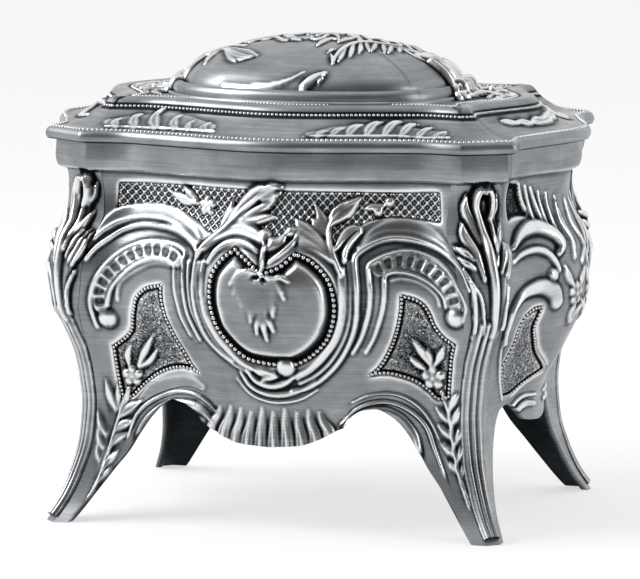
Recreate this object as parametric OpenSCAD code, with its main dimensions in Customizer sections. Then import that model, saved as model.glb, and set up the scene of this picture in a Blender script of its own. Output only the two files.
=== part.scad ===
// Rosary box: a cast, antiqued metal casket on four flared legs with a hinged, domed lid.
// The origin is on the floor under the middle of the box, Z is up, and the front faces -Y.

/* [Body] */
// Half width of the box at the corners of the shoulder
corner_x = 62; // [58:0.5:66]
// Half depth of the box at the corners of the shoulder
corner_y = 48; // [45:0.5:52]
// Height of the body without the lid
body_h = 100.3; // [98:0.1:104]
// Thickness of the cast panels
wall = 2; // [1.6:0.1:2.4]
// Joint left between two panels at a corner, filled with solder
solder_gap = 0.05; // [0.02:0.01:0.1]

/* [Body profile] */
// How far the foot tips stand out past the shoulder corners
foot_out = 0.6; // [0:0.1:2]
// Height of the ankle, the narrowest place of a leg's outline
ankle_z = 31; // [29:0.5:33]
// How far the corner draws in at the ankle
ankle_in = 6.9; // [5:0.1:8]
// Height of the shoulder, the widest place of the body
shoulder_z = 65.5; // [62:0.5:69]
// Depth below the body's top of the hollow under the neck band
cavetto_drop = 13.3; // [12:0.1:14.5]
// How far the corner draws in at that hollow
cavetto_in = 4.3; // [3:0.1:5]
// Height of the neck band at the top of the body
neck_h = 7.6; // [7:0.1:8.5]
// How far the corner draws in at the neck band
neck_in = 1.8; // [1:0.1:2.5]
// Bulge in the middle of the front at the belly
front_belly = 11; // [8:0.2:12]
// Bulge in the middle of a side at the belly
side_belly = 10.6; // [8:0.2:12]
// Bulge of each edge at the lower rim
apron_bulge = 5.6; // [4:0.2:7]
// Bulge of each edge at the neck and the lid rim
neck_bulge = 8.6; // [7:0.2:9.6]
// Depth of the shallow hollow beside each corner
edge_hollow = 1.1; // [0.4:0.1:1.6]

/* [Lower edge] */
// Height of the apron's lowest point on the long panels
apron_z = 22.6; // [20:0.2:25]
// Height of the apron on the short panels
side_apron_z = 26; // [24:0.2:28]
// Height of the cusps between the apron and the arches
cusp_z = 28.2; // [27:0.2:30]
// Height of the arches beside the legs
arch_z = 33.3; // [32:0.1:34]

/* [Corner casting] */
// Length of the leaf at the top of the corner casting
leaf_l = 38; // [34:0.5:42]
// Half width of the leaf on the corner casting
leaf_half = 4.6; // [3.6:0.1:4.8]
// Half width of the reeded strip under the leaf
reed_half = 2.9; // [2.2:0.1:3]
// Thickness of the reeded strip
reed_t = 1; // [0.7:0.1:1.4]
// Thickness of the leaf where it curls over at its tip
leaf_t = 2.4; // [1.6:0.1:3]
// Solder film between the corner casting and the panels
film = 0.1; // [0.06:0.01:0.2]

/* [Lid] */
// Gap between the top of the body and the lid
lid_gap = 0.25; // [0.15:0.05:0.4]
// How far the lid rim stands out past the neck
rim_reveal = 2.6; // [2:0.1:3]
// Height of the lid rim
rim_h = 3.2; // [2.8:0.1:3.6]
// Width of the hollow moulding behind the rim, in plan
cove_w = 11.8; // [10:0.2:12.4]
// Rise of that hollow moulding
cove_h = 5.3; // [4.4:0.1:6]
// Width of the rounded step above it, in plan
step_w = 6.6; // [5.4:0.1:7]
// Rise of the rounded step
step_h = 2.4; // [1.6:0.1:3]
// Half width of the border round the dome
border_x = 41; // [38:0.5:42]
// Half depth of the border round the dome
border_y = 34.4; // [32:0.2:34.6]
// Width of that border
border_w = 4.4; // [3.6:0.1:5]
// Height of that border
border_h = 4; // [3:0.1:4.6]
// Height of the dome above its border
dome_h = 11.4; // [9:0.1:13]

/* [Hinge] */
// Length of the hinge
hinge_l = 20; // [16:0.5:22]
// Radius of the hinge knuckles
knuckle_r = 1.6; // [1.5:0.05:1.8]
// Radius of the hinge pin
pin_r = 0.7; // [0.6:0.05:0.8]
// Radial running clearance of the pin
pin_clear = 0.05; // [0.03:0.01:0.08]
// Thickness of the hinge leaves
hinge_t = 0.8; // [0.6:0.05:1]
// Height of the leaf on the body below the pin
hinge_drop = 6.2; // [5.5:0.1:6.6]
// Depth of the leaf in the lid in front of the pin
hinge_reach = 5.4; // [4.6:0.1:5.8]
// Side gap between two knuckles
knuckle_gap = 0.2; // [0.1:0.05:0.4]

/* [Floor and lining] */
// Height of the underside of the floor plate
floor_z = 35.6; // [35:0.1:38]
// Thickness of the floor plate
floor_t = 1.5; // [1.2:0.1:2]
// Clearance between the floor plate and the panels
floor_clear = 0.3; // [0.2:0.02:0.4]
// Thickness of the velvet-covered card
lining_t = 1.2; // [0.8:0.1:1.6]
// Clearance round each piece of the lining
lining_clear = 0.5; // [0.4:0.05:0.6]
// Distance of the lining's top edge below the body's top
lining_drop = 1; // [0.6:0.1:2]
// Thickness of the pad in the lid
lid_pad_t = 1.8; // [1.2:0.1:2.2]

/* [Hidden] */
$fn = 48;
metal = [0.56, 0.57, 0.58];
dark_metal = [0.46, 0.47, 0.48];
hinge_metal = [0.72, 0.68, 0.58];
velvet = [0.16, 0.10, 0.13];
LONG = 0;
SHORT = 1;

// A smooth curve through [position, value] pairs that never overshoots them
function segment(p, t, i = 0) = i >= len(p) - 2 || t < p[i + 1][0] ? i : segment(p, t, i + 1);
function slope(p, i) = (p[i + 1][1] - p[i][1]) / (p[i + 1][0] - p[i][0]);
function tangent(p, i) =
    i == 0 ? slope(p, 0)
    : i == len(p) - 1 ? slope(p, i - 1)
    : slope(p, i - 1) * slope(p, i) <= 0 ? 0
    : 2 / (1 / slope(p, i - 1) + 1 / slope(p, i));
function curve(p, t) =
    let (
        i = segment(p, t),
        h = p[i + 1][0] - p[i][0],
        s = min(max((t - p[i][0]) / h, 0), 1),
        from_tangent = tangent(p, i) * h,
        to_tangent = tangent(p, i + 1) * h
    )
    (2 * s ^ 3 - 3 * s ^ 2 + 1) * p[i][1] + (s ^ 3 - 2 * s ^ 2 + s) * from_tangent
        + (3 * s ^ 2 - 2 * s ^ 3) * p[i + 1][1] + (s ^ 3 - s ^ 2) * to_tangent;
function mix(a, b, s) = a + (b - a) * s;

// Vertical profile of the corners, as how far they stand out past the shoulder
band_z = body_h - neck_h;
cavetto_z = body_h - cavetto_drop;
corner_profile = [
    [0, foot_out],
    [0.2 * ankle_z, mix(foot_out, -ankle_in, 0.41)],
    [0.42 * ankle_z, mix(foot_out, -ankle_in, 0.70)],
    [0.7 * ankle_z, mix(foot_out, -ankle_in, 0.93)],
    [ankle_z, -ankle_in],
    [mix(ankle_z, shoulder_z, 0.21), -ankle_in * 0.91],
    [mix(ankle_z, shoulder_z, 0.40), -ankle_in * 0.75],
    [mix(ankle_z, shoulder_z, 0.59), -ankle_in * 0.43],
    [mix(ankle_z, shoulder_z, 0.78), -ankle_in * 0.09],
    [shoulder_z, 0],
    [mix(shoulder_z, cavetto_z, 0.40), -cavetto_in * 0.24],
    [mix(shoulder_z, cavetto_z, 0.68), -cavetto_in * 0.76],
    [cavetto_z, -cavetto_in],
    [band_z - 0.8, -cavetto_in * 0.95],
    [band_z + 0.9, mix(-cavetto_in, -neck_in, 0.8)],
    [band_z + neck_h * 0.45, -neck_in],
    [body_h, -neck_in - 0.2],
];
function out(z) = curve(corner_profile, z);

// At the neck the corner shifts from the long side to the short side
corner_shift = 1.8;
function shift(z) = curve([[0, 0], [shoulder_z, 0], [band_z, corner_shift], [body_h, corner_shift]], z);
function half_x(z) = corner_x + out(z) + shift(z);
function half_y(z) = corner_y + out(z) - shift(z);

// The cut across each corner, measured along the long side and along the short side
cut_long = [[0, 3.2], [10, 4.2], [20, 5], [45, 5.5], [65, 7], [80, 8.6], [92, 10.3], [105, 10.5]];
cut_short = [[0, 3.2], [10, 4.2], [20, 5], [45, 5.4], [65, 6.2], [80, 6.6], [92, 6.7], [105, 6.7]];
least_cut = 0.5;
function cuts(z, inset) =
    let (
        a = curve(cut_long, z),
        b = curve(cut_short, z),
        across = norm([a, b]),
        nx = b / across,
        ny = a / across
    )
    [max(a - inset * (1 - (1 - ny) / nx), least_cut), max(b - inset * (1 - (1 - nx) / ny), least_cut)];

// How far the middle of an edge bulges out past its ends
long_bulge = [[apron_z, apron_bulge], [ankle_z, apron_bulge + 0.4], [45, mix(apron_bulge, front_belly, 0.6)],
    [58, front_belly], [74, front_belly], [cavetto_z, neck_bulge - 0.4], [band_z + 1, neck_bulge],
    [body_h, neck_bulge]];
short_bulge = [[apron_z, apron_bulge - 0.6], [ankle_z + 3, apron_bulge - 0.4],
    [45, mix(apron_bulge, side_belly, 0.75)], [54, side_belly], [74, side_belly],
    [cavetto_z, neck_bulge - 0.6], [band_z + 1, neck_bulge], [body_h, neck_bulge]];
function bulge(side, z) = curve(side == LONG ? long_bulge : short_bulge, z);
function hollow(z) = edge_hollow * min(max((z - ankle_z) / 20, 0), 1);

// Serpentine edge: 1 in the middle, falling to a shallow hollow beside each end
bulge_width = 0.8;
function serpentine(side, z, w) =
    bulge(side, z) * cos(90 * min(abs(w) / bulge_width, 1)) ^ 2
        - hollow(z) * sin(180 * max(abs(w) - 0.6, 0) / 0.4) ^ 2;

// Share of a half panel taken by its flat face, the rest is its part of the cut corner
face_share = 0.94;
// A point of a panel's section: w runs from -1 to 1 between its two corner seams
function section(side, z, inset, w) =
    let (
        c = cuts(z, inset),
        along = (side == LONG ? half_x(z) : half_y(z)) - inset,
        depth = (side == LONG ? half_y(z) : half_x(z)) - inset,
        cut_a = side == LONG ? c[0] : c[1],
        cut_d = side == LONG ? c[1] : c[0],
        seam_long = (c[0] - 2 * shift(z)) / (c[0] + c[1]),
        seam = side == LONG ? seam_long : 1 - seam_long,
        u = abs(w) / face_share,
        t = max(u - 1, 0) * face_share / (1 - face_share) * seam
    )
    u <= 1
        ? [sign(w) * u * (along - cut_a), depth + serpentine(side, z, u)]
        : [sign(w) * (along - cut_a + t * cut_a), depth - t * cut_d];

// Lower edge of a panel: apron, cusp, arch and the inner edge of the leg, over the flat face
long_edge = [[0, apron_z], [0.16, apron_z + 0.6], [0.26, mix(apron_z, cusp_z, 0.4)],
    [0.35, mix(apron_z, cusp_z, 0.82)], [0.394, cusp_z], [0.43, mix(cusp_z, arch_z, 0.55)],
    [0.49, mix(cusp_z, arch_z, 0.9)], [0.56, arch_z], [0.63, arch_z - 1.6], [0.70, arch_z - 5],
    [0.772, 22.7], [0.81, 18.7], [0.868, 12.9], [0.912, 6.4], [0.934, 0], [1, 0]];
short_edge = [[0, side_apron_z], [0.24, side_apron_z + 1], [0.34, mix(side_apron_z, arch_z, 0.45)],
    [0.43, arch_z - 1.8], [0.5, arch_z - 1], [0.6, arch_z - 1.8], [0.68, arch_z - 5],
    [0.75, 22.7], [0.79, 18.7], [0.855, 12.9], [0.9, 6.4], [0.934, 0], [1, 0]];
function lower_edge(side, w) =
    curve(side == LONG ? long_edge : short_edge, min(abs(w) / face_share, 1));

// Where a panel is sampled: shares of the half face, and heights above the floor plate
half_columns = [0.13, 0.26, 0.35, 0.394, 0.45, 0.56, 0.64, 0.71, 0.77, 0.82, 0.87, 0.91, 0.934, 1];
face_columns = concat([for (i = [len(half_columns) - 1:-1:0]) -half_columns[i]], [0], half_columns);
panel_columns = concat([-1], face_share * face_columns, [1]);
waist_z = 38;
low_rows = 4;
belly_rows = 7;
band_foot_z = band_z - 0.8;
panel_heights = concat(
    [for (k = [1:belly_rows]) mix(waist_z, cavetto_z - 1, k / belly_rows)],
    [band_foot_z, band_z + 0.9, band_z + 3.4, body_h]);

// Triangles of a closed shell between two grids of points with equal rows and columns
function grid_faces(rows, cols, start, flip) =
    [for (r = [0:rows - 2], c = [0:cols - 2], half = [0, 1])
        let (
            a = start + r * cols + c,
            corners = half == 0 ? [a, a + 1, a + cols] : [a + 1, a + cols + 1, a + cols]
        )
        flip ? [corners[2], corners[1], corners[0]] : corners];
function edge_loop(rows, cols) = concat(
    [for (c = [0:cols - 1]) c],
    [for (r = [1:rows - 1]) r * cols + cols - 1],
    [for (c = [cols - 2:-1:0]) (rows - 1) * cols + c],
    [for (r = [rows - 2:-1:1]) r * cols]);
module shell_between(outer, inner) {
    rows = len(outer);
    cols = len(outer[0]);
    n = rows * cols;
    edge = edge_loop(rows, cols);
    points = concat([for (row = outer) each row], [for (row = inner) each row]);
    rim = [for (i = [0:len(edge) - 1], half = [0, 1])
        let (a = edge[i], b = edge[(i + 1) % len(edge)])
        half == 0 ? [a, n + a, b] : [b, n + a, n + b]];
    polyhedron(points, concat(grid_faces(rows, cols, 0, false), grid_faces(rows, cols, n, true), rim));
}

// One grid of a panel or a lining, with its end columns drawn back from the seam plane
function panel_grid(side, inset, columns, heights, end_gap, flat_y) =
    [for (r = [0:len(heights[0]) - 1])
        [for (i = [0:len(columns) - 1])
            let (
                z = heights[i][r],
                p = section(side, z, inset, columns[i]),
                back = abs(columns[i]) == 1 ? end_gap * sign(columns[i]) : 0
            )
            [p[0] - back, z > band_z - 4 ? min(p[1], flat_y - inset) : p[1], z]]];
no_flat = 1000;

module panel(side, flat_y = no_flat) {
    heights = [for (w = panel_columns)
        let (bottom = lower_edge(side, w))
        concat([for (k = [0:low_rows]) mix(bottom, waist_z, k / low_rows)], panel_heights)];
    shell_between(
        panel_grid(side, 0, panel_columns, heights, solder_gap, flat_y),
        panel_grid(side, wall, panel_columns, heights, solder_gap, flat_y));
}

// Each panel is modelled facing +Y and turned to its side of the box
hinge_flat_y = half_y(body_h) + neck_bulge - 1;
module front_panel() { color(metal) rotate([0, 0, 180]) panel(LONG); }
module back_panel() { color(metal) panel(LONG, hinge_flat_y); }
module left_panel() { color(metal) rotate([0, 0, 90]) panel(SHORT); }
module right_panel() { color(metal) rotate([0, 0, -90]) panel(SHORT); }

// Corner casting: three reeds that run up the leg into an acanthus leaf over the seam
strip_z = waist_z / low_rows;
leaf_tip_z = band_foot_z;
leaf_z = leaf_tip_z - leaf_l;
strip_widths = [[strip_z, reed_half * 0.66], [waist_z / 2, reed_half * 0.92], [waist_z, reed_half],
    [leaf_z, reed_half * 1.05], [mix(leaf_z, leaf_tip_z, 0.16), mix(reed_half, leaf_half, 0.6)],
    [mix(leaf_z, leaf_tip_z, 0.48), leaf_half], [mix(leaf_z, leaf_tip_z, 0.7), leaf_half * 0.94],
    [mix(leaf_z, leaf_tip_z, 0.86), leaf_half * 0.72], [leaf_tip_z, leaf_half * 0.36]];
strip_thickness = [[strip_z, reed_t * 0.7], [waist_z, reed_t], [leaf_z, reed_t * 1.2],
    [mix(leaf_z, leaf_tip_z, 0.6), leaf_t * 0.75], [mix(leaf_z, leaf_tip_z, 0.9), leaf_t],
    [leaf_tip_z, leaf_t * 0.7]];
reed_profile = [0.12, 0.8, 0.42, 1, 0.42, 0.8, 0.12];
// The casting bends where the panels under it bend
strip_heights = concat(
    [for (k = [1:low_rows]) waist_z * k / low_rows],
    [for (z = panel_heights) if (z <= leaf_tip_z) z]);
// A point over the cut corner between +X and +Y, s runs across it from -1 to 1
function corner_point(z, s, raise) =
    let (
        c = cuts(z, 0),
        seam = (c[0] - 2 * shift(z)) / (c[0] + c[1]),
        mid = [half_x(z) - c[0] + seam * c[0], half_y(z) - seam * c[1]],
        across = [c[0], -c[1]] / norm(c),
        outward = [c[1], c[0]] / norm(c),
        p = mid + across * s * curve(strip_widths, z) + outward * (film + raise)
    )
    [p[0], p[1], z];
module corner_casting() {
    steps = len(reed_profile) - 1;
    outer = [for (z = strip_heights)
        [for (i = [0:steps]) corner_point(z, 1 - 2 * i / steps, reed_profile[i] * curve(strip_thickness, z))]];
    inner = [for (z = strip_heights)
        [for (i = [0:steps]) corner_point(z, 1 - 2 * i / steps, 0)]];
    shell_between(outer, inner);
}
module corner_casting_back_right() { color(dark_metal) corner_casting(); }
module corner_casting_back_left() { color(dark_metal) mirror([1, 0, 0]) corner_casting(); }
module corner_casting_front_right() { color(dark_metal) mirror([0, 1, 0]) corner_casting(); }
module corner_casting_front_left() { color(dark_metal) rotate([0, 0, 180]) corner_casting(); }

// Closed outline of the box at one height, drawn in by an inset
long_steps = [-0.9, -0.76, -0.6, -0.4, -0.2, 0, 0.2, 0.4, 0.6, 0.76, 0.9];
short_steps = [-0.88, -0.7, -0.46, -0.23, 0, 0.23, 0.46, 0.7, 0.88];
outline_long = concat([-1], face_share * concat([-1], long_steps, [1]));
outline_short = concat([-1], face_share * concat([-1], short_steps, [1]));
function turned(p, quarter) =
    quarter == 0 ? p : quarter == 1 ? [-p[1], p[0]] : quarter == 2 ? [-p[0], -p[1]] : [p[1], -p[0]];
function outline(z, inset, flat_y = no_flat) =
    [for (q = [0:3])
        let (side = q % 2 == 0 ? LONG : SHORT, steps = side == LONG ? outline_long : outline_short)
        for (i = [len(steps) - 1:-1:1])
            let (
                p = section(side, z, inset, steps[i]),
                kept = q == 0 ? [p[0], min(p[1], flat_y - inset)] : p
            )
            turned(kept, q)];

module floor_plate() {
    color(dark_metal)
        translate([0, 0, floor_z])
            linear_extrude(floor_t) polygon(outline(floor_z, wall + floor_clear));
}

// Lid: rings of points from the underside of the rim over the dome and back inside
lid_z = body_h + lid_gap;
rim_flat = hinge_flat_y - 0.5;
function lid_outline(inset) = outline(body_h, inset - rim_reveal, rim_flat);
function lid_ring(inset, z) = [for (p = lid_outline(inset)) [p[0], p[1], lid_z + z]];
dome_power = 2.4;
function round_point(angle, rx, ry) =
    let (c = cos(angle), s = sin(angle), r = (abs(c / rx) ^ dome_power + abs(s / ry) ^ dome_power) ^ (-1 / dome_power))
    [r * c, r * s];
cove_start = 1.8;
step_start = cove_start + cove_w;
step_end = step_start + step_w;
guide = lid_outline(step_end);
function dome_ring(draw_in, scale, z) =
    [for (p = guide)
        let (q = scale * round_point(atan2(p[1], p[0]), border_x - draw_in, border_y - draw_in))
        [q[0], q[1], lid_z + z]];
shelf_z = rim_h + cove_h + step_h - 0.4;
border_top = shelf_z + border_h;
dome_base = border_top - 0.6;
function dome_z(r) = dome_base + dome_h * (1 - r ^ 2) ^ 0.62;
flange = 6;
lid_rings = concat(
    [for (p = [[flange, 0], [1.1, 0], [0.2, 0.6], [0, rim_h * 0.5], [0.4, rim_h * 0.85], [1, rim_h],
            [cove_start, rim_h + 0.1], [cove_start + cove_w * 0.3, rim_h + cove_h * 0.1],
            [cove_start + cove_w * 0.6, rim_h + cove_h * 0.34], [cove_start + cove_w * 0.84, rim_h + cove_h * 0.68],
            [step_start - 0.4, rim_h + cove_h * 0.95], [step_start + 0.2, rim_h + cove_h],
            [step_start + 0.8, rim_h + cove_h + step_h * 0.5], [step_start + step_w * 0.35, rim_h + cove_h + step_h],
            [step_start + step_w * 0.75, rim_h + cove_h + step_h * 0.95], [step_end, shelf_z]])
        lid_ring(p[0], p[1])],
    [dome_ring(0, 1, shelf_z), dome_ring(0.6, 1, shelf_z + border_h * 0.6),
        dome_ring(border_w * 0.5, 1, border_top), dome_ring(border_w, 1, dome_base)],
    [for (r = [0.93, 0.8, 0.6, 0.35]) dome_ring(border_w, r, dome_z(r))]);
under_shelf = shelf_z - wall;
lid_hollow_rings = concat(
    [for (r = [0.35, 0.65, 0.88]) dome_ring(border_w + 1.6, r, dome_z(r) - wall)],
    [dome_ring(border_w + 1.6, 1, dome_base - wall + 0.6), dome_ring(border_w - 1.4, 1, under_shelf)],
    [for (p = [[step_end - 1.6, under_shelf], [step_start + 1.8, rim_h + cove_h - 1.6],
            [cove_start + cove_w * 0.84, rim_h + cove_h * 0.68 - 2.6], [flange + 0.8, 1.6]])
        lid_ring(p[0], p[1])]);
module ring_solid(rings, top, bottom) {
    n = len(rings[0]);
    m = len(rings);
    points = concat([for (r = rings) each r], [top, bottom]);
    split = len(lid_rings);
    // The rings climb over the outside to the top point, then come back from the inner point
    sides = [for (r = [0:m - 1], i = [0:n - 1], half = [0, 1])
        if (r != split - 1)
            let (a = r * n + i, b = r * n + (i + 1) % n, c = ((r + 1) % m) * n + i, d = ((r + 1) % m) * n + (i + 1) % n)
            half == 0 ? [a, c, b] : [b, c, d]];
    caps = [for (i = [0:n - 1], half = [0, 1])
        let (j = (i + 1) % n)
        half == 0 ? [(split - 1) * n + i, m * n, (split - 1) * n + j] : [split * n + i, split * n + j, m * n + 1]];
    polyhedron(points, concat(sides, caps));
}

// Hinge at the middle of the back, its pin line just behind the neck
hinge_y = hinge_flat_y + 0.05 + knuckle_r;
hinge_z = body_h + lid_gap / 2;
centre_l = hinge_l * 0.4;
notch_clear = 0.35;
module hinge_notch() {
    translate([-hinge_l / 2 - notch_clear, hinge_y - knuckle_r - notch_clear, lid_z - 1])
        cube([hinge_l + 2 * notch_clear, knuckle_r * 2 + 6, 1 + knuckle_r + notch_clear]);
    translate([-hinge_l / 2 - 0.1, hinge_y - hinge_reach - 0.1, lid_z - 1])
        cube([hinge_l + 0.2, hinge_reach, 1 + hinge_t + 0.05]);
}
module lid() {
    color(metal)
        difference() {
            ring_solid(
                concat(lid_rings, lid_hollow_rings),
                [0, 0, lid_z + dome_z(0)],
                [0, 0, lid_z + dome_z(0) - wall]);
            hinge_notch();
        }
}

module along_x(from, to, r) {
    translate([from, hinge_y, hinge_z]) rotate([0, 90, 0]) cylinder(h = to - from, r = r);
}
module pin_bore() { along_x(-hinge_l, hinge_l, pin_r + pin_clear); }
module hinge_body_leaf() {
    outer_from = centre_l / 2 + knuckle_gap;
    color(hinge_metal)
        difference() {
            union() {
                for (side = [-1, 1])
                    along_x(min(side * outer_from, side * hinge_l / 2), max(side * outer_from, side * hinge_l / 2),
                        knuckle_r);
                for (side = [-1, 1])
                    translate([side > 0 ? outer_from : -hinge_l / 2, hinge_y - knuckle_r, hinge_z - knuckle_r - 0.6])
                        cube([hinge_l / 2 - outer_from, hinge_t, knuckle_r + 0.6]);
                translate([-hinge_l / 2, hinge_y - knuckle_r, hinge_z - hinge_drop])
                    cube([hinge_l, hinge_t, hinge_drop - knuckle_r - 0.4]);
            }
            pin_bore();
        }
}
module hinge_lid_leaf() {
    color(hinge_metal)
        difference() {
            union() {
                along_x(-centre_l / 2, centre_l / 2, knuckle_r);
                translate([-centre_l / 2, hinge_y - knuckle_r - 0.6, lid_z])
                    cube([centre_l, knuckle_r + 0.6, hinge_t]);
                translate([-hinge_l / 2, hinge_y - hinge_reach, lid_z])
                    cube([hinge_l, hinge_reach - knuckle_r - 0.5, hinge_t]);
            }
            pin_bore();
        }
}
module hinge_pin() {
    color(hinge_metal) along_x(-hinge_l / 2 - 0.1, hinge_l / 2 + 0.1, pin_r);
}

// Velvet on card: four walls, a floor and a pad in the lid
lining_foot = floor_z + floor_t + lining_clear;
lining_top = body_h - lining_drop;
half_lining = [0.26, 0.45, 0.64, 0.77, 0.87, 1];
lining_columns = concat(
    [-1], [for (i = [len(half_lining) - 1:-1:0]) -face_share * half_lining[i]], [0], face_share * half_lining, [1]);
module wall_lining(side) {
    rows = concat([lining_foot], [for (z = panel_heights) if (z < lining_top) z], [lining_top]);
    heights = [for (w = lining_columns) rows];
    flat = hinge_flat_y;
    color(velvet)
        shell_between(
            panel_grid(side, wall + lining_clear, lining_columns, heights, lining_clear, flat),
            panel_grid(side, wall + lining_clear + lining_t, lining_columns, heights, lining_clear, flat));
}
module back_lining() { wall_lining(LONG); }
module front_lining() { rotate([0, 0, 180]) wall_lining(LONG); }
module left_lining() { rotate([0, 0, 90]) wall_lining(SHORT); }
module right_lining() { rotate([0, 0, -90]) wall_lining(SHORT); }
module floor_lining() {
    color(velvet)
        translate([0, 0, lining_foot])
            linear_extrude(lining_t) polygon(outline(lining_foot, wall + lining_t + 2 * lining_clear));
}
// The pad sits a little inside the flange of the lid
pad_inset = flange + 3.6;
pad_rise = 0.8;
module lid_lining() {
    color(velvet)
        translate([0, 0, lid_z + pad_rise])
            linear_extrude(lid_pad_t) polygon(lid_outline(pad_inset));
}

front_panel();
back_panel();
left_panel();
right_panel();
corner_casting_front_left();
corner_casting_front_right();
corner_casting_back_left();
corner_casting_back_right();
floor_plate();
lid();
hinge_body_leaf();
hinge_lid_leaf();
hinge_pin();
floor_lining();
front_lining();
back_lining();
left_lining();
right_lining();
lid_lining();
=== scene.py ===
# %% [markdown]
# # A rosary box in antiqued pewter
# The real box is four thin cast walls soldered at the corners, on legs that are part of the walls,
# under a hinged lid with a low dome. All of its ornament is cast in low relief, then darkened and wiped
# bright again, so the hollows stay nearly black. This notebook dresses the CAD model of that box: it
# keeps the sizes and adds the relief, the beading, the velvet and the finish.

# %% Read the frame
import math

import bmesh
import bpy
import numpy as np
from mathutils import Matrix, Vector


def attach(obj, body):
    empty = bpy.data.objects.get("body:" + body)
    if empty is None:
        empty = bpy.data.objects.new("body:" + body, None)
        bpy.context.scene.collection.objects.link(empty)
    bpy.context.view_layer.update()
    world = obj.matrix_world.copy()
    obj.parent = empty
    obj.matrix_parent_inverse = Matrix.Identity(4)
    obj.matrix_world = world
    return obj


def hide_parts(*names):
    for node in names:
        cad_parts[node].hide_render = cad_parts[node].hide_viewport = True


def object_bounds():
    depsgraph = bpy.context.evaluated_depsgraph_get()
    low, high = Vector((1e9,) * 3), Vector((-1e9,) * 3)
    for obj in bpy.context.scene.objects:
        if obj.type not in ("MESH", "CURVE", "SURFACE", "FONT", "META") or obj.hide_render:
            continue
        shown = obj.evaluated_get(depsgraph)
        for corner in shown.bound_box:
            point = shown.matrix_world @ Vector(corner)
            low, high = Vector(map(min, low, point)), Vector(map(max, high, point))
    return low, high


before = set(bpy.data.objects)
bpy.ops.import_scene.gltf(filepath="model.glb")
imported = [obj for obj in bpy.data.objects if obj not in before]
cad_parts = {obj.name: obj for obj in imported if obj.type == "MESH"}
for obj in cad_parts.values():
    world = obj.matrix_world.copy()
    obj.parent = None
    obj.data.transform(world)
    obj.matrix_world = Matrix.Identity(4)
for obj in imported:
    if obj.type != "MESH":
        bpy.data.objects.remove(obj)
cad_low, cad_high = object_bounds()
MM = 0.001
print("CAD box in mm", [round(v / MM, 1) for v in (cad_high - cad_low)])

# %% [markdown]
# ## Camera
# The photograph was taken from a little above and from the right, from well back, so that upright lines
# hardly draw together. A long lens on a far camera gives the same flat perspective.

# %% Camera
def direction(azimuth, elevation):
    """The way out to a place, in degrees to the right of the front and above the table."""
    a, e = math.radians(azimuth), math.radians(elevation)
    return Vector((math.sin(a) * math.cos(e), -math.cos(a) * math.cos(e), math.sin(e)))


AZIMUTH, ELEVATION, CAMERA_DISTANCE = 17.55, 7.81, 1604.17 * MM
LENS, SENSOR = 337.5, 36.0
TARGET = Vector((-0.85, 0, 57.87)) * MM
towards = direction(AZIMUTH, ELEVATION)
camera = bpy.data.objects.new("camera", bpy.data.cameras.new("camera"))
bpy.context.scene.collection.objects.link(camera)
camera.data.lens, camera.data.sensor_width = LENS, SENSOR
camera.data.clip_start, camera.data.clip_end = 0.1, 20
camera.location = TARGET + towards * CAMERA_DISTANCE
camera.rotation_euler = (-towards).to_track_quat("-Z", "Y").to_euler()
bpy.context.scene.camera = camera
print("camera", round(CAMERA_DISTANCE, 2), "m away")

# %% [markdown]
# ## The shape of the walls
# A wall is a serpentine: it swells in the middle and hollows out beside the corners, and both change
# with the height. A few measured heights joined by a smooth curve that never overshoots describe each
# of these, and one function then gives any point of any wall. Everything that lies on a wall is placed
# by it.

# %% Curves and sections of the body
def mix(a, b, share):
    return a + (b - a) * share


def curve(pairs, t):
    """A smooth curve through (position, value) pairs that never overshoots them."""
    x, y = np.array(pairs, float).T
    t = np.asarray(t, float)
    d = np.diff(y) / np.diff(x)
    both = d[:-1] * d[1:]
    m = np.empty_like(y)
    m[0], m[-1] = d[0], d[-1]
    m[1:-1] = np.where(both > 0, 2 * both / np.where(both > 0, d[:-1] + d[1:], 1), 0)
    i = np.clip(np.searchsorted(x, t, side="right") - 1, 0, len(x) - 2)
    h = x[i + 1] - x[i]
    s = np.clip((t - x[i]) / h, 0, 1)
    value = (2 * s**3 - 3 * s**2 + 1) * y[i] + (3 * s**2 - 2 * s**3) * y[i + 1]
    return value + (s**3 - 2 * s**2 + s) * m[i] * h + (s**3 - s**2) * m[i + 1] * h


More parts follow.
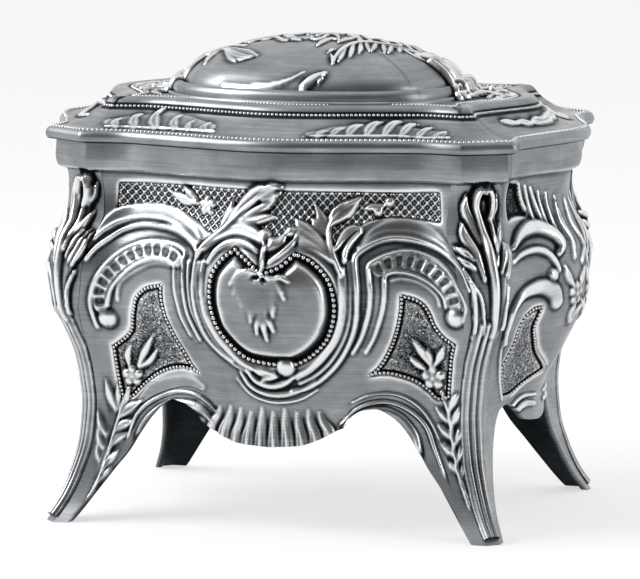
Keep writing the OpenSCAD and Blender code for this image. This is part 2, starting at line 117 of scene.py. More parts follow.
CORNER_X, CORNER_Y, BODY_H, WALL = 62, 48, 100.3, 2
FOOT_OUT, ANKLE_Z, ANKLE_IN, SHOULDER_Z = 0.6, 31, 6.9, 65.5
CAVETTO_Z, CAVETTO_IN, NECK_H, NECK_IN = 87, 4.3, 7.6, 1.8
BAND_Z = BODY_H - NECK_H
APRON_BULGE, FRONT_BELLY, SIDE_BELLY, NECK_BULGE, EDGE_HOLLOW = 5.6, 11, 10.6, 8.6, 1.1
APRON_Z, SIDE_APRON_Z, CUSP_Z, ARCH_Z = 22.6, 26, 28.2, 33.3
LONG, SHORT, FACE = 0, 1, 0.94
PROFILE = [
    (0, FOOT_OUT), (0.2 * ANKLE_Z, mix(FOOT_OUT, -ANKLE_IN, 0.41)),
    (0.42 * ANKLE_Z, mix(FOOT_OUT, -ANKLE_IN, 0.7)),
    (0.7 * ANKLE_Z, mix(FOOT_OUT, -ANKLE_IN, 0.93)), (ANKLE_Z, -ANKLE_IN),
    (mix(ANKLE_Z, SHOULDER_Z, 0.21), -ANKLE_IN * 0.91), (mix(ANKLE_Z, SHOULDER_Z, 0.4), -ANKLE_IN * 0.75),
    (mix(ANKLE_Z, SHOULDER_Z, 0.59), -ANKLE_IN * 0.43), (mix(ANKLE_Z, SHOULDER_Z, 0.78), -ANKLE_IN * 0.09),
    (SHOULDER_Z, 0), (mix(SHOULDER_Z, CAVETTO_Z, 0.4), -CAVETTO_IN * 0.24),
    (mix(SHOULDER_Z, CAVETTO_Z, 0.68), -CAVETTO_IN * 0.76), (CAVETTO_Z, -CAVETTO_IN),
    (BAND_Z - 0.8, -CAVETTO_IN * 0.95), (BAND_Z + 0.9, mix(-CAVETTO_IN, -NECK_IN, 0.8)),
    (BAND_Z + NECK_H * 0.45, -NECK_IN), (BODY_H, -NECK_IN - 0.2)]
SHIFT = [(0, 0), (SHOULDER_Z, 0), (BAND_Z, 1.8), (BODY_H, 1.8)]
CUT_LONG = [(0, 3.2), (10, 4.2), (20, 5), (45, 5.5), (65, 7), (80, 8.6), (92, 10.3), (105, 10.5)]
CUT_SHORT = [(0, 3.2), (10, 4.2), (20, 5), (45, 5.4), (65, 6.2), (80, 6.6), (92, 6.7), (105, 6.7)]
BULGE = {
    LONG: [(APRON_Z, APRON_BULGE), (ANKLE_Z, APRON_BULGE + 0.4), (45, mix(APRON_BULGE, FRONT_BELLY, 0.6)),
           (58, FRONT_BELLY), (74, FRONT_BELLY), (CAVETTO_Z, NECK_BULGE - 0.4), (BAND_Z + 1, NECK_BULGE),
           (BODY_H, NECK_BULGE)],
    SHORT: [(APRON_Z, APRON_BULGE - 0.6), (ANKLE_Z + 3, APRON_BULGE - 0.4),
            (45, mix(APRON_BULGE, SIDE_BELLY, 0.75)),
            (54, SIDE_BELLY), (74, SIDE_BELLY), (CAVETTO_Z, NECK_BULGE - 0.6), (BAND_Z + 1, NECK_BULGE),
            (BODY_H, NECK_BULGE)]}
LOWER_EDGE = {
    LONG: [(0, APRON_Z), (0.16, APRON_Z + 0.6), (0.26, mix(APRON_Z, CUSP_Z, 0.4)),
           (0.35, mix(APRON_Z, CUSP_Z, 0.82)),
           (0.394, CUSP_Z), (0.43, mix(CUSP_Z, ARCH_Z, 0.55)), (0.49, mix(CUSP_Z, ARCH_Z, 0.9)),
           (0.56, ARCH_Z),
           (0.63, ARCH_Z - 1.6), (0.7, ARCH_Z - 5), (0.772, 22.7), (0.81, 18.7), (0.868, 12.9),
           (0.912, 6.4),
           (0.934, 0), (1, 0)],
    SHORT: [(0, SIDE_APRON_Z), (0.24, SIDE_APRON_Z + 1), (0.34, mix(SIDE_APRON_Z, ARCH_Z, 0.45)),
            (0.43, ARCH_Z - 1.8),
            (0.5, ARCH_Z - 1), (0.6, ARCH_Z - 1.8), (0.68, ARCH_Z - 5), (0.75, 22.7), (0.79, 18.7),
            (0.855, 12.9),
            (0.9, 6.4), (0.934, 0), (1, 0)]}


def cuts(z, inset):
    """The canted corner at a height: its run along the long wall and along the short one."""
    a, b = curve(CUT_LONG, z), curve(CUT_SHORT, z)
    across = np.hypot(a, b)
    return (np.maximum(a - inset * (1 - (1 - a / across) / (b / across)), 0.5),
            np.maximum(b - inset * (1 - (1 - b / across) / (a / across)), 0.5))


def section(side, z, inset, w):
    """Run along a wall and depth from the middle of the box, w from -1 to 1 between the corner seams."""
    a, b = cuts(z, inset)
    out, shift = curve(PROFILE, z), curve(SHIFT, z)
    half = (CORNER_X + out + shift - inset, CORNER_Y + out - shift - inset)
    along, depth = half if side == LONG else half[::-1]
    run, drop = (a, b) if side == LONG else (b, a)
    seam = (a - 2 * shift) / (a + b)
    u = np.abs(w) / FACE
    over = np.maximum(u - 1, 0) * FACE / (1 - FACE) * (seam if side == LONG else 1 - seam)
    f = np.minimum(u, 1)
    swell = curve(BULGE[side], z) * np.cos(np.pi / 2 * np.minimum(f / 0.8, 1)) ** 2
    hollow = EDGE_HOLLOW * np.clip((z - ANKLE_Z) / 20, 0,
                                   1) * np.sin(np.pi * np.maximum(f - 0.6, 0) / 0.4) ** 2
    x = np.where(u <= 1, f * (along - run), along - run + over * run)
    return np.sign(w) * x, np.where(u <= 1, depth + swell - hollow, depth - over * drop)


def share_at(side, x, z):
    """The share w of a wall at x mm from its middle."""
    along, _ = section(side, z, 0, np.full(np.shape(z), FACE))
    return FACE * x / along


def turned(side_name, run, depth, z):
    """From a wall seen face on to its place on the box."""
    x, y = {"front": (run, -depth), "right": (depth, run), "back": (-run, depth),
            "left": (-depth, -run)}[side_name]
    return np.stack([x, y, z], -1)


# %% [markdown]
# ## Relief
# A caster's model is built up in clay: a smooth ground, then rolls, leaves and petals laid on it. Here
# the same is done with numbers. A Relief holds the face-on place of every point of a fine grid and how
# far it stands out. A stroke lays a roll of changing width along a smooth line, and a field sinks or
# lifts an area.

# %% Relief and the smooth line
class Relief:
    """Face-on x and z of a grid in mm, h how far each point stands out, tone its extra patina."""

    def __init__(self, x, z, h=0.0):
        self.x, self.z = x, z
        self.h = np.full(x.shape, float(h))
        self.tone = np.zeros(x.shape)
        self.rough = np.zeros(x.shape)


def spine(points, step=0.7):
    """A smooth line through points of x, z, half width and height."""
    p = np.array(points, float)
    q = np.vstack([2 * p[0] - p[1], p, 2 * p[-1] - p[-2]])
    rows = []
    for a, b, c, d in zip(q, q[1:], q[2:], q[3:]):
        n = max(int(np.hypot(*(c - b)[:2]) / step), 1)
        t = np.linspace(0, 1, n, endpoint=False)[:, None]
        squared, cubed = (2 * a - 5 * b + 4 * c - d) * t**2, (3 * b - a - 3 * c + d) * t**3
        rows.append(0.5 * (2 * b + (c - a) * t + squared + cubed))
    return np.vstack(rows + [p[-1:]])


def near(relief, line, reach):
    """Grid points within reach of a line: index, distance, and the line's values and length there."""
    lo, hi = line[:, :2].min(0) - reach, line[:, :2].max(0) + reach
    x, z = relief.x.ravel(), relief.z.ravel()
    pick = np.nonzero((x > lo[0]) & (x < hi[0]) & (z > lo[1]) & (z < hi[1]))[0]
    a, ab = line[:-1], np.diff(line, axis=0)
    length = np.concatenate([[0], np.cumsum(np.hypot(ab[:, 0], ab[:, 1]))])
    found = []
    for part in np.array_split(pick, len(pick) // 6000 + 1):
        dx, dz = x[part][:, None] - a[:, 0], z[part][:, None] - a[:, 1]
        t = np.clip((dx * ab[:, 0] + dz * ab[:, 1]) / (ab[:, 0] ** 2 + ab[:, 1] ** 2 + 1e-9), 0, 1)
        d = np.hypot(dx - t * ab[:, 0], dz - t * ab[:, 1])
        k = np.argmin(d, 1)
        at = np.arange(len(part))
        values = a[k, 2:] + t[at, k][:, None] * ab[k, 2:]
        found.append((part, d[at, k], values, length[k] + t[at, k] * np.diff(length)[k]))
    return [np.concatenate(f) for f in zip(*found)]


# %% [markdown]
# What makes a leaf look like a leaf is its cross-section. Each kind of stroke has one, from 0 on its
# line to 1 at its edge: round for a roll, grooved down the middle for a blade, folded for a broad leaf,
# flat with soft edges for a band. Kinds that repeat along the line, such as dents and pearls, come
# further on.

# %% Cross-sections of the strokes
def smooth(t):
    """From 0 to 1 with a soft start and end."""
    t = np.clip(t, 0, 1)
    return t * t * (3 - 2 * t)


def roll(s, along):
    """A round roll, a little flatter on top than a circle."""
    return np.clip(1 - s * s, 0, 1) ** 0.75


def blade(s, along):
    """A narrow leaf with a fine groove down its middle."""
    return (1 - s * s) * (1 - 0.3 * np.exp(-((s / 0.22) ** 2)))


def leafy(s, along):
    """A broad lobe with a raised middle rib and two soft folds beside it."""
    return (1 - s**4) * (0.78 + 0.22 * np.cos(s * 8.0))


def band(s, along):
    """A flat band with soft edges."""
    return smooth((1 - s) / 0.3)


print("cross-sections:", ", ".join(f.__name__ for f in (roll, blade, leafy, band)))

# %% [markdown]
# A stroke finds the grid points near its line and lifts them to its own height where that is higher
# than what is there already, so strokes cross and overlap as rolls of clay do. A field does the same
# for an area inside an outline. Both could be cut with booleans, but on a relief this low a height map
# is cleaner.

# %% Strokes and fields
def stroke(relief, points, shape=roll, base=0.0, tone=0.0, cut=False, step=0.7):
    """Lays a roll, leaf blade or band along a line, or cuts it as a groove."""
    line = spine(points, step)
    reach = line[:, 2].max() + 0.1
    pick, d, values, along = near(relief, line, reach)
    s = d / np.maximum(values[:, 0], 0.05)
    pick, s, values, along = pick[s < 1], s[s < 1], values[s < 1], along[s < 1]
    height = values[:, 1] * shape(s, along)
    h, t, rough = relief.h.ravel(), relief.tone.ravel(), relief.rough.ravel()
    if cut:
        h[pick] -= height
    else:
        wins = base + height > h[pick]
        h[pick] = np.maximum(h[pick], base + height)
        t[pick[wins]] = tone
        rough[pick[wins]] = 0
    relief.h, relief.tone, relief.rough = (a.reshape(relief.h.shape) for a in (h, t, rough))


def inside(relief, points):
    """1 inside a closed outline and 0 outside."""
    p = np.array(points, float)[:, :2]
    result = np.zeros(relief.x.shape, bool)
    for (x0, z0), (x1, z1) in zip(p, np.roll(p, -1, 0)):
        crosses = (z0 > relief.z) != (z1 > relief.z)
        at = x0 + (relief.z - z0) * (x1 - x0) / (z1 - z0 if z1 != z0 else 1e-9)
        result ^= crosses & (relief.x < at)
    return result


def depth_inside(relief, outline):
    """How far inside a closed outline each grid point lies, 0 outside."""
    line = np.hstack([np.vstack([outline, outline[:1]]), np.zeros((len(outline) + 1, 2))])
    pick, d, _, _ = near(relief, line, 0.1)
    depth = np.zeros(relief.h.size)
    depth[pick] = d
    return depth.reshape(relief.h.shape) * inside(relief, outline)


def field(relief, outline, level, edge=0.5, tone=0.0, rough=0.0):
    """Brings the ground inside an outline to a level, over an edge of some width."""
    share = smooth(depth_inside(relief, outline) / edge)
    relief.h = relief.h * (1 - share) + level * share
    relief.tone = np.maximum(relief.tone, tone * share)
    relief.rough = np.maximum(relief.rough, rough * share)


# %% [markdown]
# ## From a slab to a casting
# Each casting starts as a flat slab: a fine grid in front, a coarse one behind, and the two edges
# bridged, so the shell is closed from the start. Then every corner of it is carried to its place on the
# curved wall and pushed out by the relief. The patina is worked out as a finisher would see it: what
# lies lower than its surroundings stays dark, and what stands proud is wiped bright.

# %% Slab, patina and the finished piece
def slab(columns, rows, coarse_columns, coarse_rows):
    """A closed slab from -1 to 1 with a fine front at z 0 and a coarse back at z -1."""
    bm = bmesh.new()
    bmesh.ops.create_grid(bm, x_segments=columns, y_segments=rows, size=1)
    front = [e for e in bm.edges if e.is_boundary]
    back = bmesh.ops.create_grid(bm, x_segments=coarse_columns, y_segments=coarse_rows, size=1)["verts"]
    for v in back:
        v.co.z = -1
    edges = {e for v in back for e in v.link_edges if e.is_boundary}
    flat = [e for e in edges if abs(e.verts[0].co.y - e.verts[1].co.y) < 1e-6]
    upright = [e for e in edges if abs(e.verts[0].co.x - e.verts[1].co.x) < 1e-6]
    bmesh.ops.subdivide_edges(bm, edges=flat, cuts=columns // coarse_columns - 1)
    bmesh.ops.subdivide_edges(bm, edges=upright, cuts=rows // coarse_rows - 1)
    rear = [e for e in bm.edges if e.is_boundary and e.verts[0].co.z < -0.5]
    bmesh.ops.bridge_loops(bm, edges=front + rear)
    bmesh.ops.recalc_face_normals(bm, faces=bm.faces)
    return bm


def blurred(h, reach):
    """The mean height round each grid point."""
    for axis in (0, 1):
        p = np.pad(h, [(reach, reach) if a == axis else (0, 0) for a in (0, 1)], mode="edge")
        c = np.cumsum(np.insert(p, 0, 0, axis), axis)
        n = h.shape[axis]
        ahead = np.take(c, range(2 * reach + 1, 2 * reach + 1 + n), axis)
        h = (ahead - np.take(c, range(n), axis)) / (2 * reach + 1)
    return h


def patina_of(relief, reach=2, strength=2.0):
    """How dark each point is: 0.43 on plain metal, towards 1 in a hollow and 0 on a crest."""
    low = blurred(blurred(relief.h, reach), reach) - relief.h
    wide = blurred(blurred(relief.h, 3 * reach), 3 * reach) - relief.h
    return np.clip(0.43 + strength * low + 0.12 * wide + relief.tone, 0, 1)


def outward(points, sign):
    """The outward normals of a grid of points."""
    n = np.cross(np.gradient(points, axis=1), np.gradient(points, axis=0)) * sign
    return n / np.maximum(np.linalg.norm(n, axis=-1, keepdims=True), 1e-9)


def new_piece(name, bm, material, body="box", sharp=50):
    """Turns a bmesh into an object that rides on one of the two bodies."""
    mesh = bpy.data.meshes.new(name)
    bm.to_mesh(mesh)
    bm.free()
    mesh.polygons.foreach_set("use_smooth", [True] * len(mesh.polygons))
    mesh.set_sharp_from_angle(angle=math.radians(sharp))
    mesh.materials.append(material)
    piece = bpy.data.objects.new(name, mesh)
    bpy.context.scene.collection.objects.link(piece)
    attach(piece, body)
    print(name, len(mesh.polygons), "faces")
    return piece


def attribute(piece, name, values):
    layer = piece.data.attributes.new(name, "FLOAT", "POINT")
    layer.data.foreach_set("value", np.asarray(values, np.float32))


REAR_PATINA = 0.85


def casting(name, columns, rows, coarse, place, relief_of, thickness, material, body="box", sign=1,
            sharp=50):
    """A closed casting. For u, v from -1 to 1 place() gives x, y, z in mm and relief_of() the relief."""
    bm = slab(columns, rows, *coarse)
    uv = np.array([v.co for v in bm.verts])
    fine = (columns + 1) * (rows + 1)
    u, v = uv[:fine, 0].reshape(rows + 1, -1), uv[:fine, 1].reshape(rows + 1, -1)
    base = place(u, v)
    relief = relief_of(u, v)
    relief.h = blurred(relief.h, 1)
    normal = outward(base, sign)
    outer = base + normal * relief.h[..., None]
    rear_uv = uv[fine:]
    inner = place(rear_uv[:, 0], rear_uv[:, 1], thickness)
    for vert, co in zip(bm.verts, np.vstack([outer.reshape(-1, 3), inner]) * MM):
        vert.co = co
    piece = new_piece(name, bm, material, body, sharp)
    rear = np.ones(len(rear_uv))
    attribute(piece, "patina", np.concatenate([patina_of(relief).ravel(), rear * REAR_PATINA]))
    attribute(piece, "grain", np.concatenate([relief.rough.ravel(), rear * 0]))
    return piece


# %% [markdown]
# ## Metal
# Box and lid are cast zinc with an antique pewter plating: a white metal, satin from fine brushing,
# with a dark oxide rubbed off everything but the hollows. The patina attribute mixes the two: light
# grey on crests, silver on plain metal, nearly black in a hollow. Real brushing is finer than a picture
# can show, so its lines are drawn about half a millimetre apart. The grain attribute adds the worm-like
# etching of the fields.

# %% Materials
def linear(hex_colour):
    channels = [int(hex_colour[i:i + 2], 16) / 255 for i in (1, 3, 5)]
    return tuple(c / 12.92 if c <= 0.04045 else ((c + 0.055) / 1.055) ** 2.4 for c in channels) + (1,)


def add(material, kind, settings=(), **links):
    """Adds a node. Settings are (name, value) pairs, links are socket=output of another node."""
    tree = material.node_tree
    node = tree.nodes.new(kind)
    for key, value in settings:
        if isinstance(key, int) or key in node.inputs:
            node.inputs[key].default_value = value
        else:
            setattr(node, key, value)
    for key, output in links.items():
        number = key.lstrip("_")
        tree.links.new(output, node.inputs[int(number) if number.isdigit() else key.replace("_", " ")])
    return node


def new_material(name):
    material = bpy.data.materials.new(name)
    material.use_nodes = True
    shader = material.node_tree.nodes["Principled BSDF"]
    return material, shader


def antique_pewter(name, silver="#94979a", oxide="#101315"):
    material, shader = new_material(name)
    link = material.node_tree.links.new
    place = add(material, "ShaderNodeTexCoord").outputs["Object"]
    patina = add(material, "ShaderNodeAttribute", [("attribute_name", "patina")]).outputs["Fac"]
    grain = add(material, "ShaderNodeAttribute", [("attribute_name", "grain")]).outputs["Fac"]
    cloud = add(material, "ShaderNodeTexNoise", [("Scale", 90.0), ("Detail", 6.0), ("Roughness", 0.6)],
                Vector=place)
    long_scratch = add(material, "ShaderNodeMapping", [("Scale", (70.0, 70.0, 1900.0))], Vector=place)
    scratch = add(material, "ShaderNodeTexNoise", [("Scale", 1.0), ("Detail", 4.0), ("Roughness", 0.7)],
                  Vector=long_scratch.outputs[0])
    uneven = add(material, "ShaderNodeMath", [("operation", "MULTIPLY_ADD"), (1, 0.3), (2, -0.15)],
                 _0=cloud.outputs["Fac"])
    brushed = add(material, "ShaderNodeMath", [("operation", "MULTIPLY_ADD"), (1, 0.24)],
                  _0=scratch.outputs["Fac"],
                  _2=uneven.outputs[0])
    lowered = add(material, "ShaderNodeMath", [("operation", "SUBTRACT"), (1, 0.12)], _0=brushed.outputs[0])
    worms = add(material, "ShaderNodeTexNoise", [("Scale", 750.0), ("Detail", 1.0), ("Distortion", 3.0)],
                Vector=place)
    worm = add(material, "ShaderNodeMath", [("operation", "MULTIPLY")], _0=worms.outputs["Fac"], _1=grain)
    level = add(material, "ShaderNodeMath", [("operation", "MULTIPLY_ADD"), (1, -0.5)], _0=grain,
                _2=worm.outputs[0])
    etched = add(material, "ShaderNodeMath", [("operation", "MULTIPLY_ADD"), (1, -1.6)],
                 _0=level.outputs[0],
                 _2=lowered.outputs[0])
    dark = add(material, "ShaderNodeMath", [("operation", "ADD")], _0=patina, _1=etched.outputs[0])
    ramp = add(material, "ShaderNodeValToRGB", _0=dark.outputs[0])
    stops = ramp.color_ramp.elements
    stops[0].position, stops[0].color = 0.12, linear("#e6e7e8")
    stops[1].position, stops[1].color = 0.98, linear(oxide)
    for position, colour in ((0.4, silver), (0.56, "#6c6f72"), (0.74, "#2c3033")):
        stop = stops.new(position)
        stop.color = linear(colour)
    link(ramp.outputs["Color"], shader.inputs["Base Color"])
    shader.inputs["Metallic"].default_value = 1
    rough = add(material, "ShaderNodeMapRange",
                [("From Min", 0.3), ("From Max", 0.9), ("To Min", 0.26), ("To Max", 0.62)],
                Value=dark.outputs[0])
    link(rough.outputs["Result"], shader.inputs["Roughness"])
    fine = add(material, "ShaderNodeBump", [("Strength", 0.14), ("Distance", 0.0002)],
               Height=scratch.outputs["Fac"])
    coarse = add(material, "ShaderNodeBump", [("Strength", 1.0), ("Distance", 0.0012)],
                 Height=worm.outputs[0],
                 Normal=fine.outputs[0])
    link(coarse.outputs[0], shader.inputs["Normal"])
    return material


pewter = antique_pewter("antique_pewter_plated_zinc")

# %% [markdown]
# ## Front and back walls
# Both long walls come from one mould. From the middle outwards they carry a round cartouche under a
# leaf crest, C-scrolls with a fluted band, a sunk field with a flower beside each leg, and a gadrooned
# apron between two arches.

# %% Long wall relief
LOW_ROWS_Z = 38


def wall_place(side, side_name, low_share):
    """Carries a slab onto a wall: v below the share runs over the legs, above it over the body."""
    def place(u, v, thickness=0):
        f = (v + 1) / 2
        foot = curve(LOWER_EDGE[side], np.minimum(np.abs(u) / FACE, 1))
        z = np.where(f < low_share, mix(foot, LOW_ROWS_Z, f / low_share),
                     mix(LOW_ROWS_Z, BODY_H, (f - low_share) / (1 - low_share)))
        x, depth = section(side, z, thickness, u)
        if side_name == "back":
            depth = np.where(z > BAND_Z - 4, np.minimum(depth, HINGE_FLAT_Y - thickness), depth)
        return turned(side_name, x, depth, z)
    return place


HINGE_FLAT_Y = float(section(LONG, np.array(BODY_H), 0, np.array(0.0))[1]) - 1


def drop(relief, x, z, radius, height, base=0.0, cut=False, length=0.01):
    """A round drop, or a dent, drawn as a very short roll."""
    stroke(relief, [(x, z, radius, height), (x + length, z, radius, height)], roll, base, cut=cut, step=0.3)


def flower(relief, x, z, radius, height, base=0.0, petals=5, turn=20):
    """Petals with a dent in each round a raised eye."""
    for k in range(petals):
        a = math.radians(turn + 360 * k / petals)
        way_x, way_z = math.cos(a) * radius, math.sin(a) * radius
        petal_x, petal_z = x + way_x * 0.58, z + way_z * 0.58
        root = (x + way_x * 0.3, z + way_z * 0.3, radius * 0.3, height * 0.75)
        stroke(relief, [root, (petal_x, petal_z, radius * 0.42, height * 0.9)], roll, base, step=0.3)
        drop(relief, petal_x, petal_z, radius * 0.16, 0.22, cut=True)
    drop(relief, x, z, radius * 0.24, height * 1.05, base)


print("flat behind the hinge", round(HINGE_FLAT_Y, 2), "mm from the middle")

# %% [markdown]
# The ornament is a list of strokes: a kind, its half widths and heights, which spread evenly along the
# line, and the points of the line in mm, from the middle of the wall and up from the table. The two
# halves differ a little, as they do on the real box, whose model was cut by hand.

# %% Left half of a long wall
def each(kind, widths, heights, *lines):
    """Several strokes of one kind and size."""
    return [(kind, widths, heights, line) for line in lines]


LEFT_HALF = [
    ("band", [0.4, 1.6, 2.2, 2.4, 2.2, 1.8, 1.2, 0.4], 0.35, [(-48.9, 76), (-45.7, 79), (-42.4, 81.1),
        (-38.6, 81.9), (-32.3, 82.7), (-26.4, 82.4), (-21.1, 80.5), (-17.2, 77.4)]),
    ("roll", 0.55, 0.75, [(-48.4, 75.7), (-45.8, 78), (-42.3, 79.9), (-35.5, 81.4), (-28.8, 81.1),
        (-23, 79.2), (-17.5, 76.3)]),
    ("roll", 0.62, 0.9, [(-50.3, 70.3), (-48.1, 72.9), (-45.1, 75.2), (-40.9, 77.9), (-35.2, 79.5),
        (-28.5, 79.4), (-23.1, 78.2), (-18.6, 75.7), (-17.4, 73.5), (-17.7, 70.7), (-18, 67.6),
        (-18.2, 64.2), (-17.7, 60), (-16.6, 56.1), (-15.3, 52), (-12.4, 48.2), (-8.7, 45.4)]),
    ("roll", 0.45, 0.7, [(-48.2, 51.8), (-49.1, 56), (-49.3, 60), (-47.9, 64.6), (-44.6, 69.3),
        (-40.1, 73), (-34.2, 75.4), (-28.4, 75.8), (-24.1, 75.2), (-21.4, 73.7), (-21.5, 71.1),
        (-21.5, 67.3), (-21.3, 63.4), (-20.6, 59.2), (-19.3, 55), (-17.7, 50.6)]),
    ("tongues", 1.6, 0.6, [(-46.6, 57.7), (-46.9, 60.8), (-45.7, 64), (-43.5, 66.9), (-40.5, 69.5),
        (-37.4, 71.5), (-34.6, 72.7), (-31.4, 73.3), (-28, 73.2), (-25, 72.4), (-23.4, 71.5)]),
    ("roll", 0.42, 0.75, [(-44.7, 57.7), (-44.1, 61.2), (-42.4, 64.1), (-39.2, 67.2), (-35.5, 69.6),
        (-31.1, 71.1), (-27, 71.2), (-24.4, 70)]),
    ("roll", 0.4, 0.55, [(-24.4, 70), (-24.3, 66.8), (-24.1, 63.5), (-23.3, 60), (-22.1, 55.8),
        (-20.4, 51.4)]),
    ("pearls_band", 0.9, 0.25, [(-22.9, 70), (-22.9, 66.9), (-22.8, 63.3), (-22, 59.1), (-20.7, 54.5),
        (-19, 50.5)]),
    ("ball", 2.7, 1.5, [(-45.1, 54.2)]),
    ("roll", 0.5, 0.35, [(-41.9, 59.5), (-41.9, 61), (-41.2, 63.8), (-37.9, 66.8), (-32.6, 69.6),
        (-28.5, 70.4), (-25.8, 70)]),
    ("roll", 0.5, 0.55, [(-19.9, 71.3), (-19.8, 67.2), (-19.6, 63.6), (-19, 59.4), (-17.6, 55.7),
        (-16, 51.6), (-13.3, 48.2), (-9.4, 45.1), (-4.5, 42.4)]),
    ("roll", 0.5, 0.6, [(-16.4, 71.6), (-16.9, 67.7), (-16.9, 64.3), (-16.4, 60.4), (-15.3, 56.5),
        (-13.9, 52.4), (-11.1, 48.4), (-7.6, 45.5), (-3.9, 43)]),
    ("roll", 0.42, 0.85, [(-15.2, 71.7), (-15.6, 68.1), (-15.7, 64.4), (-15.2, 60.2), (-14.1, 56.3),
        (-12.5, 52.2), (-9.9, 48.7), (-6.4, 45.6), (-2.7, 43.4)]),
    ("flower", 2.9, 0.95, [(-39.6, 38.8)]),
    ("blade", [0.4, 0.95, 0.1], 0.7, [(-37.9, 41.5), (-35.7, 45.5), (-32.4, 50.3)]),
    ("blade", [0.3, 0.7, 0.1], 0.55, [(-37.6, 41), (-34.1, 43.4), (-31.9, 46.4)]),
    ("blade", [0.3, 0.75, 0.1], 0.6, [(-40.4, 41.4), (-40.8, 44.3), (-39.7, 47.1)]),
    ("blade", [0.3, 1.1, 0.15], 0.8, [(-44.2, 29.2), (-45.9, 33), (-46.9, 37.3)]),
    *each("blade", [0.3, 0.8, 0.15], 0.7, [(-43.4, 29.4), (-43.7, 33.1), (-43.5, 36.4)], [(-42.6, 28.9),
           (-41.5, 32.7), (-40.7, 35.7)]),
    *each("blade", [0.4, 1.3, 0.2], 0.9, [(-43.4, 27.3), (-40.9, 29.8), (-37.1, 32.1)], [(-44.5, 23.8),
           (-42.3, 25.6), (-39.3, 26.7)]),
    ("blade", [0.4, 1.2, 0.2], 0.8, [(-45.5, 19.8), (-43.6, 22.3), (-41.1, 23.2)]),
    *each("blade", [0.3, 1, 0.15], 0.7, [(-46.7, 22.1), (-48.4, 24.9), (-49.4, 28.6)], [(-47, 18.2),
           (-48.6, 21), (-49.4, 24.4)]),
    ("blade", [0.3, 0.9, 0.15], 0.6, [(-47.3, 14.6), (-48.9, 17.3), (-49.5, 20.4)]),
    ("roll", [0.35, 0.4, 0.45, 0.45, 0.35, 0.25], 0.8, [(-42, 32.7), (-43.4, 28.1), (-44.9, 23),
        (-46.2, 18.2), (-48, 12.2), (-50.2, 7.3)]),
    ("blade", [0.3, 1, 0.2], 0.7, [(-47, 14.1), (-45.5, 16.4), (-43.7, 18.1)]),
    ("blade", [0.3, 0.8, 0.2], 0.6, [(-48.6, 10.4), (-47.1, 12.5), (-45.3, 14.1)]),
    ("roll", [0.7, 1.1, 1.15, 1.15, 1.15, 1.1, 1, 0.7], 1.1, [(-38.1, 20.2), (-37.4, 24), (-35.2, 27.6),
        (-31.7, 30.4), (-26.9, 32.2), (-21.7, 32), (-18.5, 30.4), (-16.1, 28.4)]),
    ("roll", [0.3, 0.5, 0.55, 0.6, 0.6, 0.6, 0.55, 0.4, 0.3], 0.8, [(-40.8, 22.7), (-39.5, 26.4),
        (-38.4, 28.6), (-35.6, 31.4), (-31.6, 33.7), (-26.8, 35.4), (-21.5, 35.2), (-17.6, 33.3),
        (-15.3, 31.1)]),
    ("band", [0.8, 1.4, 1.7, 1.7, 1.6, 1], 0.25, [(-37.3, 32.4), (-34.6, 35), (-31.4, 36.7),
        (-26.5, 38.4), (-22.4, 38.7), (-19.1, 37.3)])]

print(len(LEFT_HALF), "strokes on the left half")

